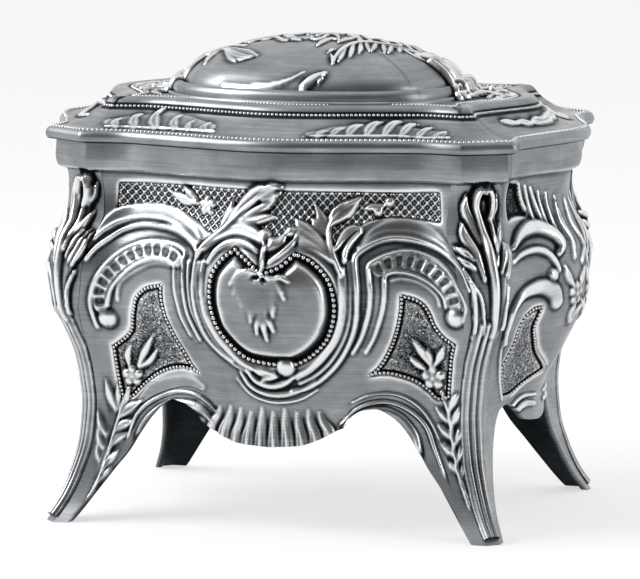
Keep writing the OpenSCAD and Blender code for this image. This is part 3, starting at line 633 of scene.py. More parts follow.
# %% Right half of a long wall
RIGHT_HALF = [
    ("band", [0.4, 1.2, 2, 2.3, 2.3, 2, 1.4, 0.6], 0.35, [(50.3, 73.2), (47.8, 75.8), (43.4, 78.8),
        (39.2, 80.3), (34.8, 81.1), (30.9, 80.6), (27.9, 79.1), (26.1, 77.2)]),
    ("roll", 0.5, 0.6, [(49.3, 74.7), (46.8, 76.9), (43.4, 78.5), (38.2, 79.9), (33.4, 80.2),
        (29.7, 79.6), (26.9, 77.8), (25.3, 76.2)]),
    ("roll", 0.62, 0.9, [(54.7, 66.3), (52.5, 70.8), (49.4, 73.8), (44.9, 76.4), (39.5, 78), (35.2, 78.6),
        (31.5, 78.4), (28.3, 77.2), (25.3, 75), (24.6, 73), (25.2, 68.7), (25.5, 63.8), (25, 56.9),
        (22.9, 51.4), (19.5, 46), (15.3, 41.6), (11, 38.8), (6.8, 37.6)]),
    ("roll", 0.45, 0.7, [(52.9, 57.8), (53.5, 61.6), (52.3, 65.2), (49.7, 69.4), (45.9, 72.7),
        (41.3, 74.7), (37.3, 75.5), (33.6, 75), (30.1, 73.4), (28.2, 71.6), (28.5, 68.2), (28.8, 63.8),
        (28.1, 58.5), (26.1, 53), (23.2, 48.3)]),
    ("tongues", 1.7, 0.6, [(50.6, 61.9), (49.2, 65.8), (46.6, 68.7), (43.2, 71.2), (39.2, 72.6),
        (36.2, 73), (33.3, 72.5), (31, 71.2)]),
    ("roll", 0.42, 0.75, [(48, 61.2), (47, 64.4), (43.8, 67.4), (39.7, 69.5), (36, 70.3), (33.3, 69.9),
        (32.2, 68.7), (32.2, 63.6), (31.3, 58.6), (29.3, 53.3), (26.5, 48.5)]),
    ("pearls_band", 0.9, 0.25, [(30.2, 69.2), (30.6, 66.1), (30.6, 63), (29.7, 57.2), (27.5, 51.9),
        (25.7, 48.5)]),
    ("ball", 2.8, 1.5, [(50.4, 58.7)]),
    ("roll", 0.45, 0.35, [(46.2, 61.6), (45.5, 64), (42.6, 66.7), (39.3, 68.3), (36, 68.8), (33.9, 68.3)]),
    ("roll", 0.5, 0.55, [(23.3, 72.8), (23.9, 68.2), (24, 63.1), (23.5, 57.2), (21.3, 51.7), (17.5, 46),
        (13.4, 42.2), (9.1, 39.9)]),
    ("roll", 0.5, 0.7, [(22, 71.3), (22.6, 67), (22.7, 62), (22, 57), (19.9, 52), (16.2, 47.2),
        (12.3, 43.5), (8.5, 41.3)]),
    ("roll", 0.4, 0.85, [(21.3, 69.3), (21.8, 65.2), (21.7, 61), (20.9, 56.4), (18.9, 52), (15.5, 47.5),
        (11.9, 44.2), (8.3, 42.2)]),
    ("flower", 3.3, 1, [(43, 42)]),
    ("blade", [0.4, 1.1, 0.1], 0.8, [(42.6, 44.9), (40.5, 48.6), (38.4, 51.9)]),
    ("blade", [0.35, 0.7, 0.1], 0.7, [(43, 45.2), (42.5, 47.4), (41.8, 49.8)]),
    ("blade", [0.35, 1, 0.1], 0.75, [(43.7, 45.3), (45.3, 48.1), (46.5, 50.5)]),
    ("blade", [0.35, 0.9, 0.1], 0.65, [(41.5, 43.8), (38.9, 45.6), (37, 47.3)]),
    ("roll", [0.3, 0.4, 0.45, 0.45, 0.4, 0.35, 0.25], 0.8, [(45.1, 38.4), (46.4, 35), (47.5, 31.1),
        (48.2, 25.9), (49.7, 18.8), (52, 12.8), (53.9, 8.9)]),
    ("blade", [0.4, 1, 0.2], 0.8, [(47.4, 33.5), (48.4, 35.9), (49.7, 37.9)]),
    *each("blade", [0.4, 1.1, 0.2], 0.8, [(48, 29.8), (49.1, 32.2), (50.1, 34.4)], [(48.8, 24.4),
           (50.2, 27.6), (51.6, 30)]),
    ("blade", [0.4, 1, 0.2], 0.8, [(49.6, 20.3), (50.8, 23.7), (51.6, 26.7)]),
    ("blade", [0.35, 0.9, 0.2], 0.7, [(50.6, 16.3), (51.8, 19.3), (52.5, 22.2)]),
    ("blade", [0.3, 0.9, 0.2], 0.7, [(47.2, 30.1), (45.3, 32.3), (43.7, 34.1)]),
    *each("blade", [0.3, 1, 0.2], 0.7, [(48.1, 25.7), (46.2, 27.9), (44.2, 29.4)], [(49, 21.3),
           (47.1, 23.3), (45.1, 24.5)]),
    ("blade", [0.3, 0.8, 0.2], 0.6, [(50.3, 17), (48.6, 19), (46.9, 19.9)]),
    ("roll", [0.6, 1, 1.1, 1.1, 1.1, 1.1, 1, 0.7], 1.1, [(19.9, 28.4), (21.5, 30.1), (25.4, 32.1),
        (30, 32.7), (33.7, 31.3), (36.1, 29.1), (38.1, 26.3), (39.2, 22.9)]),
    ("roll", [0.3, 0.5, 0.6, 0.6, 0.6, 0.55, 0.5, 0.3], 0.8, [(18.9, 29.2), (22.9, 33.2), (27.8, 35),
        (32.7, 34.8), (37.7, 32.3), (41.2, 28.7), (43.4, 23.4), (46.3, 16.8)]),
    ("roll", [0.2, 0.4, 0.45, 0.45, 0.45, 0.4, 0.2], 0.5, [(21.8, 34.8), (26.2, 36.8), (31.1, 37.4),
        (35.4, 36.4), (39.6, 33.6), (42.6, 29.8), (44.6, 25.8)])]

print(len(RIGHT_HALF), "strokes on the right half")

# %% Crest, side leaves and foot of the cartouche
MIDDLE = [
    ("roll", [0.5, 0.6, 0.7, 0.8, 0.8, 0.7, 0.3], 1.5, [(-17.2, 73), (-15.7, 75.4), (-13.5, 77.5),
        (-10.3, 80.1), (-6.4, 84), (-2.1, 87.9), (1.5, 90.5)]),
    ("blade", [0.6, 1.4, 1.8, 1.5, 0.6], 1.4, [(-10.5, 79.9), (-7.7, 83.9), (-4, 87.9), (-0.6, 90.5),
        (2.4, 91.6)]),
    ("blade", [0.5, 1.2, 1.2, 0.3], 1.3, [(-7.4, 82), (-3.2, 84.4), (0.4, 86.3), (2.8, 87.7)]),
    ("blade", [0.4, 1.1, 1, 0.3], 1.2, [(-6.2, 82.1), (-2.1, 82.7), (1.3, 83.6), (3.4, 83.7)]),
    ("blade", [0.4, 1.2, 1.3, 0.5], 1.6, [(-3.4, 86.7), (-0.7, 89.4), (2.4, 91.4), (4.5, 91.3)]),
    ("blade", [0.5, 1.5, 0.5], 1.4, [(-0.7, 87.8), (1.8, 89), (4.2, 89.6)]),
    ("blade", [0.5, 1.1, 0.2], 0.9, [(-10.7, 80.8), (-9.6, 84.3), (-9, 88.2)]),
    ("blade", [0.4, 0.7, 0.2], 0.8, [(-11.8, 79.3), (-11.2, 81.8), (-11, 84)]),
    ("blade", [0.5, 1.1, 1.6, 2, 1.7, 0.5], 1.15, [(-15.5, 74.7), (-12.8, 77.3), (-9.2, 79.5),
        (-5.7, 80.4), (-1.7, 79.4), (1.6, 77.3)]),
    ("roll", [0.4, 0.6, 0.8, 0.8, 0.7, 0.3], 0.95, [(-14, 71.8), (-11.6, 75), (-8.5, 77), (-5.1, 77.5),
        (-2.1, 76.7), (0.4, 75.2)]),
    ("ball", 2, 1.5, [(1.3, 79.2)]),
    ("ball", 1.7, 1.4, [(3.8, 77.5)]),
    ("blade", [0.4, 1.1, 1.3, 0.3], 1.2, [(1.9, 75.7), (3.8, 76.7), (5.8, 78.2), (6.7, 80.1)]),
    ("roll", [0.4, 0.6, 0.7, 0.3], 1, [(3.4, 72.7), (6.3, 74.8), (8.8, 77.5), (10.2, 80.1)]),
    ("blade", [0.5, 1.4, 2, 0.7], 1.1, [(19.5, 72.8), (15.9, 76.3), (12, 78.7), (8.1, 80.8)]),
    ("ball", 1.6, 1.5, [(7.8, 80.3)]),
    ("blade", [0.4, 1.3, 1.4, 0.3], 1, [(18.4, 75.8), (14.4, 78.7), (10.4, 81.6), (8.4, 83.5)]),
    ("blade", [0.4, 1, 0.2], 0.9, [(17.8, 78.7), (14.4, 81.6), (12.3, 83.8)]),
    ("roll", [0.5, 0.7, 0.8, 0.7, 0.5, 0.3], 1.2, [(21.6, 69.5), (20.2, 72.8), (18.7, 75.8), (17.5, 79.1),
        (17.5, 82.1), (19.4, 85)]),
    ("blade", [0.5, 1.2, 0.2], 0.9, [(17.4, 79.6), (15.1, 83.5), (12.9, 87.2)]),
    ("blade", [0.5, 1.2, 0.2], 1, [(17.4, 81.1), (18.1, 84.8), (19.8, 87.6)]),
    ("blade", [0.5, 2, 0.8], 1.1, [(18, 82.1), (20.8, 85.5), (23.9, 88.3)]),
    ("blade", [0.4, 1, 0.3], 0.9, [(19.5, 84), (21.1, 84.8), (22.5, 85.3)]),
    ("blade", [0.5, 1.3, 1.3, 0.5], 1.1, [(19.6, 75.8), (21.1, 79.1), (22.8, 80.8), (24.7, 81.1)]),
    ("roll", [0.5, 0.7, 0.6, 0.3], 1, [(22.1, 72.8), (22.4, 76.2), (23.6, 78.6), (25.1, 80.3)]),
    ("flower", 2.6, 0.9, [(-16.7, 85.6)]),
    ("blade", [0.4, 1.3, 0.2], 0.8, [(-19.8, 85.9), (-23.8, 86.6), (-28.7, 88.4)]),
    ("blade", [0.3, 0.9, 0.2], 0.7, [(-19.8, 86.7), (-22.3, 88.3), (-24.5, 89.7)]),
    ("ball", 1.5, 0.9, [(31.6, 87.6)]),
    ("ball", 1.4, 0.9, [(28.8, 85.3)]),
    ("blade", [0.5, 1, 0.2], 0.7, [(29.9, 86.6), (27.4, 86.3), (25, 85.8)]),
    ("ball", 2.6, 1.5, [(5.9, 44.1)]),
    ("roll", [0.3, 0.8, 1, 0.8, 0.4], 1, [(-5, 43.2), (-2.6, 40.3), (1.1, 39.1), (4.9, 39.8),
        (7.8, 41.8)]),
    ("blade", [0.4, 1.2, 0.4], 0.9, [(-3.2, 43.6), (-0.6, 42.6), (2.6, 42.5)]),
    ("blade", [0.3, 0.9, 0.3], 1.1, [(-0.9, 40.7), (1.4, 41.3), (3.3, 41.7)]),
    ("roll", [0.3, 0.6, 0.8, 0.8, 0.6, 0.3], 0.75, [(-6.8, 42.5), (-4.5, 38.8), (-0.2, 36.8), (4.6, 36.7),
        (9.4, 38.2), (13.3, 40.8)]),
    ("roll", [0.2, 0.4, 0.5, 0.5, 0.4, 0.2], 0.45, [(-8.2, 40.7), (-4.7, 36.5), (0.1, 34.7), (4.4, 34.6),
        (9.2, 35.7), (13.5, 38.3)])]

print(len(MIDDLE), "strokes round the cartouche")

# %% Spray that hangs into the cartouche
SPRAY = [
    ("roll", [0.5, 0.5, 0.4], 1.1, [(1.8, 76.4), (1.7, 73), (1.4, 69.4)]),
    ("blade", [0.3, 1, 0.9, 0.2], 1, [(1.2, 69.6), (-1.4, 70), (-4.2, 69), (-7, 66.4)]),
    ("blade", [0.2, 0.6, 0.2], 0.9, [(-2.6, 69), (-4.8, 66.8), (-5.8, 64.2)]),
    ("blade", [0.3, 0.9, 0.8, 0.2], 0.9, [(0.8, 68.2), (-1.2, 66.6), (-3.2, 63.8), (-3.8, 60.6)]),
    ("blade", [0.3, 0.9, 0.8, 0.2], 1, [(1.1, 67.2), (0, 63.8), (-1, 60.4), (-1.2, 57)]),
    ("blade", [0.4, 0.9, 1, 0.2], 1.1, [(1.5, 67.6), (2, 62.6), (2.2, 57.2), (2.4, 52)]),
    *each("blade", [0.2, 0.7, 0.2], 0.9, [(2, 59.6), (0.6, 56.6), (0, 53.8)], [(2.2, 59.8), (3.8, 57.2),
           (4.6, 54.6)]),
    ("blade", [0.3, 0.9, 0.8, 0.2], 1, [(1.8, 67.4), (3.4, 64.2), (4.6, 61.2), (4.8, 58.4)]),
    ("blade", [0.3, 0.9, 0.8, 0.2], 0.9, [(2, 69.2), (4.4, 68.2), (6.6, 66), (7.8, 63.2)]),
    ("blade", [0.2, 0.6, 0.2], 0.9, [(3.8, 68.6), (6.4, 69), (9, 67.8)]),
    ("roll", [0.25, 0.3, 0.2], 1.3, [(1.5, 69), (1.9, 62), (2.3, 54.6)])]

print(len(SPRAY), "strokes in the spray")

# %% [markdown]
# Four areas are framed: a sunk field beside each leg, the cartouche and the trellis. Their outlines are
# smooth lines through a few points, and a point that is given twice makes a corner.

# %% Outlines of the framed areas
FIELD_LEFT = [(-28.1, 64.9), (-28.1, 64.9), (-30.8, 64.3), (-33.7, 63.4), (-36.7, 60.7), (-37.8, 57.3),
    (-38.6, 54.2), (-39.2, 51.7), (-40.7, 49.7), (-43.2, 47.7), (-44.9, 46.6), (-44.9, 46.6),
    (-44.6, 43.6), (-44.2, 40), (-43.7, 36.8), (-42.7, 32.1), (-42.7, 32.1), (-39.4, 33), (-37.8, 34.6),
    (-35.4, 36.9), (-32.1, 39.3), (-27.9, 41.1), (-23.8, 41.6), (-18.9, 40.6), (-18.9, 40.6), (-21, 42.7),
    (-23.1, 46.4), (-25.3, 50.7), (-26.9, 55.1), (-27.9, 59.4), (-28.2, 62)]
FIELD_RIGHT = [(36.1, 64.5), (36.1, 64.5), (39.6, 63.6), (42.1, 62), (43.7, 59.4), (44.9, 56),
    (46.7, 53.3), (49.9, 51.2), (49.9, 51.2), (48.7, 47.2), (48, 42), (47.5, 36.5), (47.5, 36.5),
    (44, 36), (41.3, 38.3), (38.2, 40.4), (34.6, 41.7), (30.8, 42.4), (26, 41.8), (26, 41.8),
    (29.4, 45.1), (32.5, 50.1), (34.8, 55.5), (35.9, 60.6)]
CARTOUCHE = [(-6.2, 76.5), (-6.2, 76.5), (-2.7, 74), (1.7, 70.5), (1.7, 70.5), (6, 72.3), (9.9, 76),
    (9.9, 76), (14.3, 73.9), (17.9, 70.6), (20, 67), (20.9, 62), (20.5, 57), (18.4, 52), (15.4, 48.4),
    (12.1, 45.8), (8.6, 44.2), (4.9, 44), (-0.4, 44.4), (-4.3, 45.3), (-7.4, 47.4), (-10, 50.3),
    (-12.1, 53.5), (-13.2, 57), (-14, 60.4), (-14.2, 63.2), (-14, 66.2), (-13.3, 69.3), (-11.5, 72.2),
    (-9, 74.7)]
TRELLIS = [(-43.1, 89.9), (-43.1, 89.9), (-31.2, 90.2), (-18.9, 90.3), (-3.7, 90.3), (5.5, 90.2),
    (19.2, 90.1), (34.1, 90), (44.4, 90.3), (44.4, 90.3), (45, 82.6), (45, 82.6), (39.5, 83.3),
    (34.6, 83.8), (29.9, 83.6), (25.8, 82.4), (21.4, 79.1), (20.2, 76.7), (20.2, 76.7), (8.1, 78.2),
    (-2.7, 78.9), (-13.9, 79.1), (-16.4, 79.7), (-16.4, 79.7), (-20.2, 82), (-26.7, 83.6), (-32.4, 83.7),
    (-38.8, 82.8), (-43.8, 81.4), (-43.8, 81.4)]


print("framed areas with", [len(a) for a in (FIELD_LEFT, FIELD_RIGHT, CARTOUCHE, TRELLIS)], "points")


# %% [markdown]
# The fluted bands and the lines of tiny pearls repeat along their stroke, so their cross-section also
# looks at the distance run. Then every list can be drawn by one function, which the walls, the corners
# and the lid share.

# %% Drawing a list of strokes
def tongues(pitch):
    """A row of rounded dents."""
    def shape(s, along):
        cell = np.abs(((along / pitch) % 1) - 0.5) * 2
        rim = smooth((np.maximum(cell, s * 1.05) ** 4 + (cell * s) ** 2 - 0.25) / 0.35)
        return (0.25 + 0.75 * rim) * smooth((1 - s) / 0.1)
    return shape


def pearls(pitch):
    """A row of fine pearls."""
    def shape(s, along):
        cell = np.abs(((along / pitch) % 1) - 0.5) * 2
        return 0.1 + 0.9 * smooth(1.15 - np.hypot(cell, s))
    return shape


GROUND, SPREAD = -0.35, 1.2
SHAPES = {"roll": roll, "blade": blade, "band": band, "tongues": tongues(2.7), "pearls_band": pearls(0.9)}


def measured(widths, heights, points):
    """Points of x, z, half width and height, from a few widths and heights spread along them."""
    at = np.linspace(0, 1, len(points))
    columns = [np.interp(at, np.linspace(0, 1, np.size(v)), np.atleast_1d(v)) for v in (widths, heights)]
    return [(x, z, w * SPREAD, h) for (x, z), w, h in zip(points, *columns)]


def ornament(relief, entries, mirrored=False, base=GROUND):
    """Draws a list of (kind, half widths, heights, points in mm)."""
    for kind, widths, heights, points in entries:
        if mirrored:
            points = [(-x, z) for x, z in points]
        if kind == "flower":
            flower(relief, *points[0], widths, heights, base=base)
        elif kind == "ball":
            drop(relief, *points[0], widths, heights, base, length=0.02)
        else:
            stroke(relief, measured(widths, heights, points), SHAPES[kind], base)


def outline_of(points, step=0.7):
    """A closed outline from points, smooth except where a point is given twice."""
    start = next((i for i, p in enumerate(points) if p == points[i - 1]), 0)
    points = points[start:] + points[:start]
    runs, run = [], [points[0]]
    for p in points[1:] + points[:1]:
        if p == run[-1]:
            if len(run) > 1:
                runs.append(run)
            run = [p]
        else:
            run.append(p)
    runs.append(run)
    line = [spine([(x, z, 0, 0) for x, z in r], step)[:-1, :2] for r in runs if len(r) > 1]
    return [tuple(p) for p in np.vstack(line)]


def wall_ground(run, z):
    """The plain ground of a wall, lower on the body than on the neck."""
    r = Relief(run, z, GROUND)
    r.h -= GROUND * smooth((z - BAND_Z + 0.3) / 0.5)
    return r


def long_relief_of(side_name, place):
    """The relief of the front or back wall."""
    def relief_of(u, v):
        p = place(u, v)
        r = wall_ground({"front": p[..., 0], "back": -p[..., 0]}[side_name], p[..., 2])
        field(r, outline_of(TRELLIS), -1.3, 0.35, tone=0.3)
        for outline in (FIELD_LEFT, FIELD_RIGHT):
            beaded_field(r, outline_of(outline), 1.0, -0.6, 0.5, 0.04, 1.0)
        beaded_field(r, outline_of(CARTOUCHE), 1.8, 0.3, 2.2, 0, 0)
        for lists in (LEFT_HALF, RIGHT_HALF, MIDDLE):
            ornament(r, lists)
        ornament(r, SPRAY, base=0.25)
        gadroons(r)
        r.h = np.minimum(r.h, room(p, side_name))
        return r
    return relief_of


def room(p, side_name):
    """How far a wall's relief may stand out and stay inside the CAD box."""
    limits = {"front": (1, cad_low.y), "back": (1, cad_high.y), "left": (0, cad_low.x),
              "right": (0, cad_high.x)}
    axis, limit = limits[side_name]
    return np.abs(limit) / MM - 0.05 - np.abs(p[..., axis])


def beaded_field(relief, outline, channel, level, rise, tone, rough):
    """A field inside an outline with a dark channel round it, in which the beads sit."""
    field(relief, outline, -1.15, 0.3, tone=0.42)
    inner = depth_inside(relief, outline)
    share = smooth((inner - channel) / rise)
    relief.h = np.where(inner > channel, mix(relief.h, level, share), relief.h)
    wiped = mix(relief.tone, tone, smooth((inner - channel) / 0.35))
    relief.tone = np.where(inner > channel, wiped, relief.tone)
    relief.rough = np.where(inner > channel, np.maximum(relief.rough, rough * share), relief.rough)


# %% [markdown]
# The apron under the cartouche is gadrooned: a row of leafy flutes that widen towards the lower edge.
# Each is given as its place, height and half width, and leans outwards the further it is from the
# middle.

# %% Apron and the finished long walls
FLUTES = [(-16.2, 6.4, 1.5), (-12.6, 8.2, 1.9), (-9.2, 9, 1.6), (-5.8, 8.6, 1.9), (-2.2, 10, 1.8),
    (1.4, 9.2, 1.8), (5, 9.8, 1.9), (8.8, 8.8, 1.8), (12.2, 8.4, 1.7), (15.6, 6.6, 1.6)]


def gadroons(relief):
    """The ruffle of leafy flutes along the apron, fanning outwards."""
    for x, height, width in FLUTES:
        foot = float(curve(LOWER_EDGE[LONG], abs(x) * 1.04 / 55))
        lean = x * 0.09
        line = [(x - lean * 1.6, foot + height, width * 0.3, 0.3),
                (x - lean, foot + height * 0.6, width * 0.7, 0.9),
                (x, foot + height * 0.25, width, 1.3), (x + lean * 0.4, foot - 1, width * 1.1, 1.4)]
        stroke(relief, line, leafy, GROUND, step=0.5)


LOW_SHARE = 0.3
for side_name in ("front", "back"):
    place = wall_place(LONG, side_name, LOW_SHARE)
    casting(f"{side_name}_wall", 372, 258, (31, 43), place,
                               long_relief_of(side_name, place), WALL, pewter)
    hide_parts(f"{side_name}_panel")

# %% [markdown]
# ## Side walls
# The short walls repeat the same language, with a shell fanning down from the neck over a pair of
# scrolls. Only the front half of one shows in the photograph, so the rear half is its mirror.

# %% Side walls
SIDE_HALF = [
    ("roll", [0.2, 0.5, 0.5], 0.7, [(-22.2, 91), (-20.9, 87.7), (-19.1, 84.1)]),
    ("roll", [0.3, 0.6, 0.6], 0.8, [(-19.4, 90.2), (-17.9, 85.8), (-17.1, 81.3)]),
    *each("roll", [0.3, 0.6, 0.7], 0.8, [(-17.1, 89.4), (-15.2, 85.3), (-14.3, 81)], [(-14, 88.1),
           (-13.2, 83.3), (-13, 78.6)]),
    *each("roll", [0.3, 0.7, 0.8], 0.8, [(-11, 87.5), (-10.8, 82), (-10.7, 76)], [(-7.2, 86.3),
           (-7.8, 79.6), (-6, 72.9)]),
    *each("roll", [0.3, 0.8, 0.9], 0.8, [(-1.8, 85.2), (-2.7, 78), (2.2, 69)], [(6.8, 83.4), (6.8, 76.8),
           (6.2, 70.5)]),
    ("roll", [0.5, 1.2, 1.8, 1.9, 1.8, 1.4, 0.8], 1.5, [(-28.5, 75), (-24, 77.9), (-18.8, 79.5),
        (-15, 78.9), (-12.2, 77), (-11.2, 74), (-12.6, 72)]),
    ("roll", [0.3, 0.6, 0.8, 0.9, 0.9, 0.7], 0.9, [(-29, 71.4), (-25.4, 73.1), (-20.2, 73.7),
        (-16.6, 72.7), (-14.3, 70.5), (-12.9, 67.6)]),
    ("ball", 2, 1.2, [(-15.1, 66.5)]),
    ("roll", [0.4, 0.6, 0.9, 1.3, 1.7, 2, 2.2, 2], 1.4, [(-27, 49.3), (-29.1, 53.8), (-29.8, 57.9),
        (-26.8, 62.2), (-22.1, 63.7), (-18.2, 63.7), (-14.7, 62), (-13.3, 59.4)]),
    ("roll", [0.3, 0.4, 0.5, 0.4], 0.6, [(-21.2, 33.8), (-24.3, 39.6), (-26.2, 45.1), (-28.4, 50.8)]),
    ("flower", 3.4, 1, [(-5.3, 60.6)]),
    ("blade", [0.4, 1.3, 0.3], 0.9, [(-6.6, 62.4), (-9.5, 65.6), (-10.6, 68.4)]),
    *each("blade", [0.4, 1.4, 0.3], 0.9, [(-4, 62.3), (-2.3, 64.8), (-0.6, 67.2)], [(-5.3, 58.5),
           (-6, 55.6), (-5.2, 52.8)], [(-1.4, 58.3), (4.5, 54.8), (3.9, 52.5)]),
    ("roll", [0.5, 0.9, 1, 1, 0.9, 0.7], 1, [(-20.2, 19.9), (-18.6, 23.9), (-15.8, 27.8), (-12.9, 30.3),
        (-9.2, 31.2), (-4.6, 30.7)]),
    ("roll", [0.3, 0.5, 0.6, 0.6, 0.6, 0.4], 0.8, [(-23.2, 19.6), (-21.2, 24.3), (-18.2, 28.6),
        (-14.8, 31.9), (-10.6, 33.4), (-3.5, 33)]),
    *each("blade", [0.3, 0.9, 0.2], 0.7, [(-23.9, 23.6), (-20.9, 26.3), (-18.8, 29)], [(-26, 19.2),
           (-22.6, 21.6), (-20.4, 23.9)], [(-27.6, 15.2), (-23.6, 17.5), (-20.5, 19.2)])]
print(len(SIDE_HALF), "strokes on half a side wall")

# %% Outlines and relief of a side wall
FIELD_SIDE = [(-17.5, 58.6), (-17.5, 58.6), (-20.5, 58.5), (-23.8, 56.5), (-24.2, 53.5), (-23.3, 49.6),
    (-23.5, 45.9), (-24.8, 42.8), (-24.8, 42.8), (-23.6, 38.4), (-21.2, 33.8), (-21.2, 33.8),
    (-16.6, 34.2), (-12.2, 36.3), (-7.2, 38.1), (-2.5, 39.6), (-2.5, 39.6), (-10.7, 44.8), (-14.7, 49.1),
    (-17.5, 53.5)]
TRELLIS_SIDE = [(-25.6, 91.6), (-25.6, 91.6), (-26.2, 88.2), (-26.3, 81.7), (-26.3, 81.7), (-23.2, 82.5),
    (-18.8, 82.3), (-18.8, 82.3), (-19.3, 85.5), (-22.1, 91), (-22.1, 91)]


def short_relief_of(side_name, place):
    """The relief of a side wall, its rear half a mirror of the front half."""
    def relief_of(u, v):
        p = place(u, v)
        r = wall_ground({"right": p[..., 1], "left": -p[..., 1]}[side_name], p[..., 2])
        for mirrored in (False, True):
            flip = -1 if mirrored else 1
            recess = outline_of([(flip * x, z) for x, z in TRELLIS_SIDE])
            sunk = outline_of([(flip * x, z) for x, z in FIELD_SIDE])
            field(r, recess, -1.1, 0.35, tone=0.25, rough=1.0)
            beaded_field(r, sunk, 1.0, -0.6, 0.5, 0.04, 1.0)
            ornament(r, SIDE_HALF, mirrored, base=GROUND - 0.1)
        r.h = np.minimum(r.h, room(p, side_name))
        return r
    return relief_of


for side_name in ("left", "right"):
    place = wall_place(SHORT, side_name, LOW_SHARE)
    casting(f"{side_name}_wall", 300, 258, (25, 43), place,
                               short_relief_of(side_name, place), WALL, pewter)
    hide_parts(f"{side_name}_panel")

# %% [markdown]
# ## Beading
# The rows of little balls are real relief, but too small for the grid of a wall. Each ball is its own
# small sphere of eighty faces, half sunk in its channel, and the rows of one kind on a wall are one
# piece.

# %% Beading
def along_line(points, pitch, close=True):
    """Points at an even pitch along a line."""
    p = np.array(points + points[:1] if close else points, float)
    length = np.concatenate([[0], np.cumsum(np.linalg.norm(np.diff(p, axis=0), axis=1))])
    n = max(int(length[-1] / pitch), 1)
    at = np.linspace(0, length[-1], n, endpoint=not close)
    return np.stack([np.interp(at, length, p[:, k]) for k in range(p.shape[1])], -1)


def on_wall(side_name, points, height):
    """Face-on points carried onto a wall, standing out by a height."""
    side = LONG if side_name in ("front", "back") else SHORT
    x, z = np.array(points, float).T

    def at(x, z):
        return turned(side_name, *section(side, z, 0, share_at(side, x, z)), z)
    n = np.cross(at(x + 0.1, z) - at(x, z), at(x, z + 0.1) - at(x, z))
    n /= np.linalg.norm(n, axis=1, keepdims=True)
    return at(x, z) + n * height


BEAD_PATINA = 0.22


def beading(name, points, radius, body="box"):
    """One row of beads, or several, as one piece."""
    bm = bmesh.new()
    for p in points:
        at = Matrix.Translation(Vector(p) * MM)
        bmesh.ops.create_icosphere(bm, subdivisions=2, radius=radius * MM, matrix=at)
    piece = new_piece(name, bm, pewter, body, sharp=180)
    attribute(piece, "patina", np.full(len(piece.data.vertices), BEAD_PATINA))
    return piece


def drawn_in(outline, gap):
    """A closed outline moved inwards by a gap."""
    p = np.array(outline)
    way = np.roll(p, -1, 0) - np.roll(p, 1, 0)
    way /= np.maximum(np.linalg.norm(way, axis=1, keepdims=True), 1e-9)
    turn = np.sign(np.sum(p[:, 0] * np.roll(p[:, 1], -1) - p[:, 1] * np.roll(p[:, 0], -1)))
    return [tuple(q) for q in p + np.stack([-way[:, 1], way[:, 0]], -1) * gap * turn]


def row_inside(side_name, points, gap, pitch, depth):
    """Bead centres along the inside of an outline on a wall."""
    return on_wall(side_name, along_line(drawn_in(outline_of(points), gap), pitch), -depth)


FIELD_ROW = (0.5, 1.05, 0.65)
FIELD_BEAD, CARTOUCHE_BEAD = 0.46, 0.62
for side_name in ("front", "back"):
    beading(f"{side_name}_medallion_beading", row_inside(side_name, CARTOUCHE, 0.9, 1.42, 0.55),
            CARTOUCHE_BEAD)
    rows = [row_inside(side_name, outline, *FIELD_ROW) for outline in (FIELD_LEFT, FIELD_RIGHT)]
    beading(f"{side_name}_beading", np.vstack(rows), FIELD_BEAD)
for side_name in ("left", "right"):
    rows = [row_inside(side_name, [(flip * x, z) for x, z in FIELD_SIDE], *FIELD_ROW) for flip in (1, -1)]
    beading(f"{side_name}_beading", np.vstack(rows), FIELD_BEAD)

# %% [markdown]
# ## Trellis
# Behind the crest the wall is sunk and crossed by fine ribs with a pearl in every lozenge. It is a
# sheet with its own, finer grid, because the wall's grid can't carry ribs of this size. The ribs are a
# hair lower towards the middle of the sheet, as if worn.

# %% Trellis
LOZENGE_X, LOZENGE_Z, RIB, RIB_WEAR = 2.15, 2.3, 0.2, 99


def trellis_piece(side_name):
    """A sheet of ribs and pearls behind the crest, sunk out of sight outside the outline."""
    x0, x1, z0, z1 = -44.8, 45.6, 76.0, 90.8
    sheet = [(x0 - 1, z0 - 1), (x1 + 1, z0 - 1), (x1 + 1, z1 + 1), (x0 - 1, z1 + 1)]
    outline = outline_of(TRELLIS)

    def place(u, v, thickness=0):
        x, z = mix(x0, x1, (u + 1) / 2), mix(z0, z1, (v + 1) / 2)
        p = on_wall(side_name, np.stack([x.ravel(), z.ravel()], -1), -1.25 - thickness)
        return p.reshape(x.shape + (3,))

    def relief_of(u, v):
        x, z = mix(x0, x1, (u + 1) / 2), mix(z0, z1, (v + 1) / 2)
        r = Relief(x, z)
        a, b = x / LOZENGE_X + z / LOZENGE_Z, x / LOZENGE_X - z / LOZENGE_Z
        line = np.minimum(np.abs(a - np.round(a)), np.abs(b - np.round(b))) * LOZENGE_X * 0.72
        r.h = 0.75 * np.sqrt(np.clip(1 - (line / RIB) ** 2, 0, 1))
        ca, cb = np.abs(a - np.floor(a) - 0.5), np.abs(b - np.floor(b) - 0.5)
        r.h = np.maximum(r.h, 0.6 * np.sqrt(np.clip(1 - (np.hypot(ca, cb) / 0.2) ** 2, 0, 1)))
        field(r, sheet, 0, RIB_WEAR)
        r.h = np.where(inside(r, outline), r.h, -0.4)
        r.tone += 0.12
        return r
    return casting(f"{side_name}_trellis", 450, 76, (10, 4), place, relief_of, 0.5, pewter)


for side_name in ("front", "back"):
    trellis_piece(side_name)

# %% [markdown]
# ## Corner castings
# A strip of three reeds runs up each leg over the soldered seam and opens into a tall acanthus leaf
# that curls over under the neck. The strip follows the canted corner; the leaf is wider, so it wraps
# onto both walls.

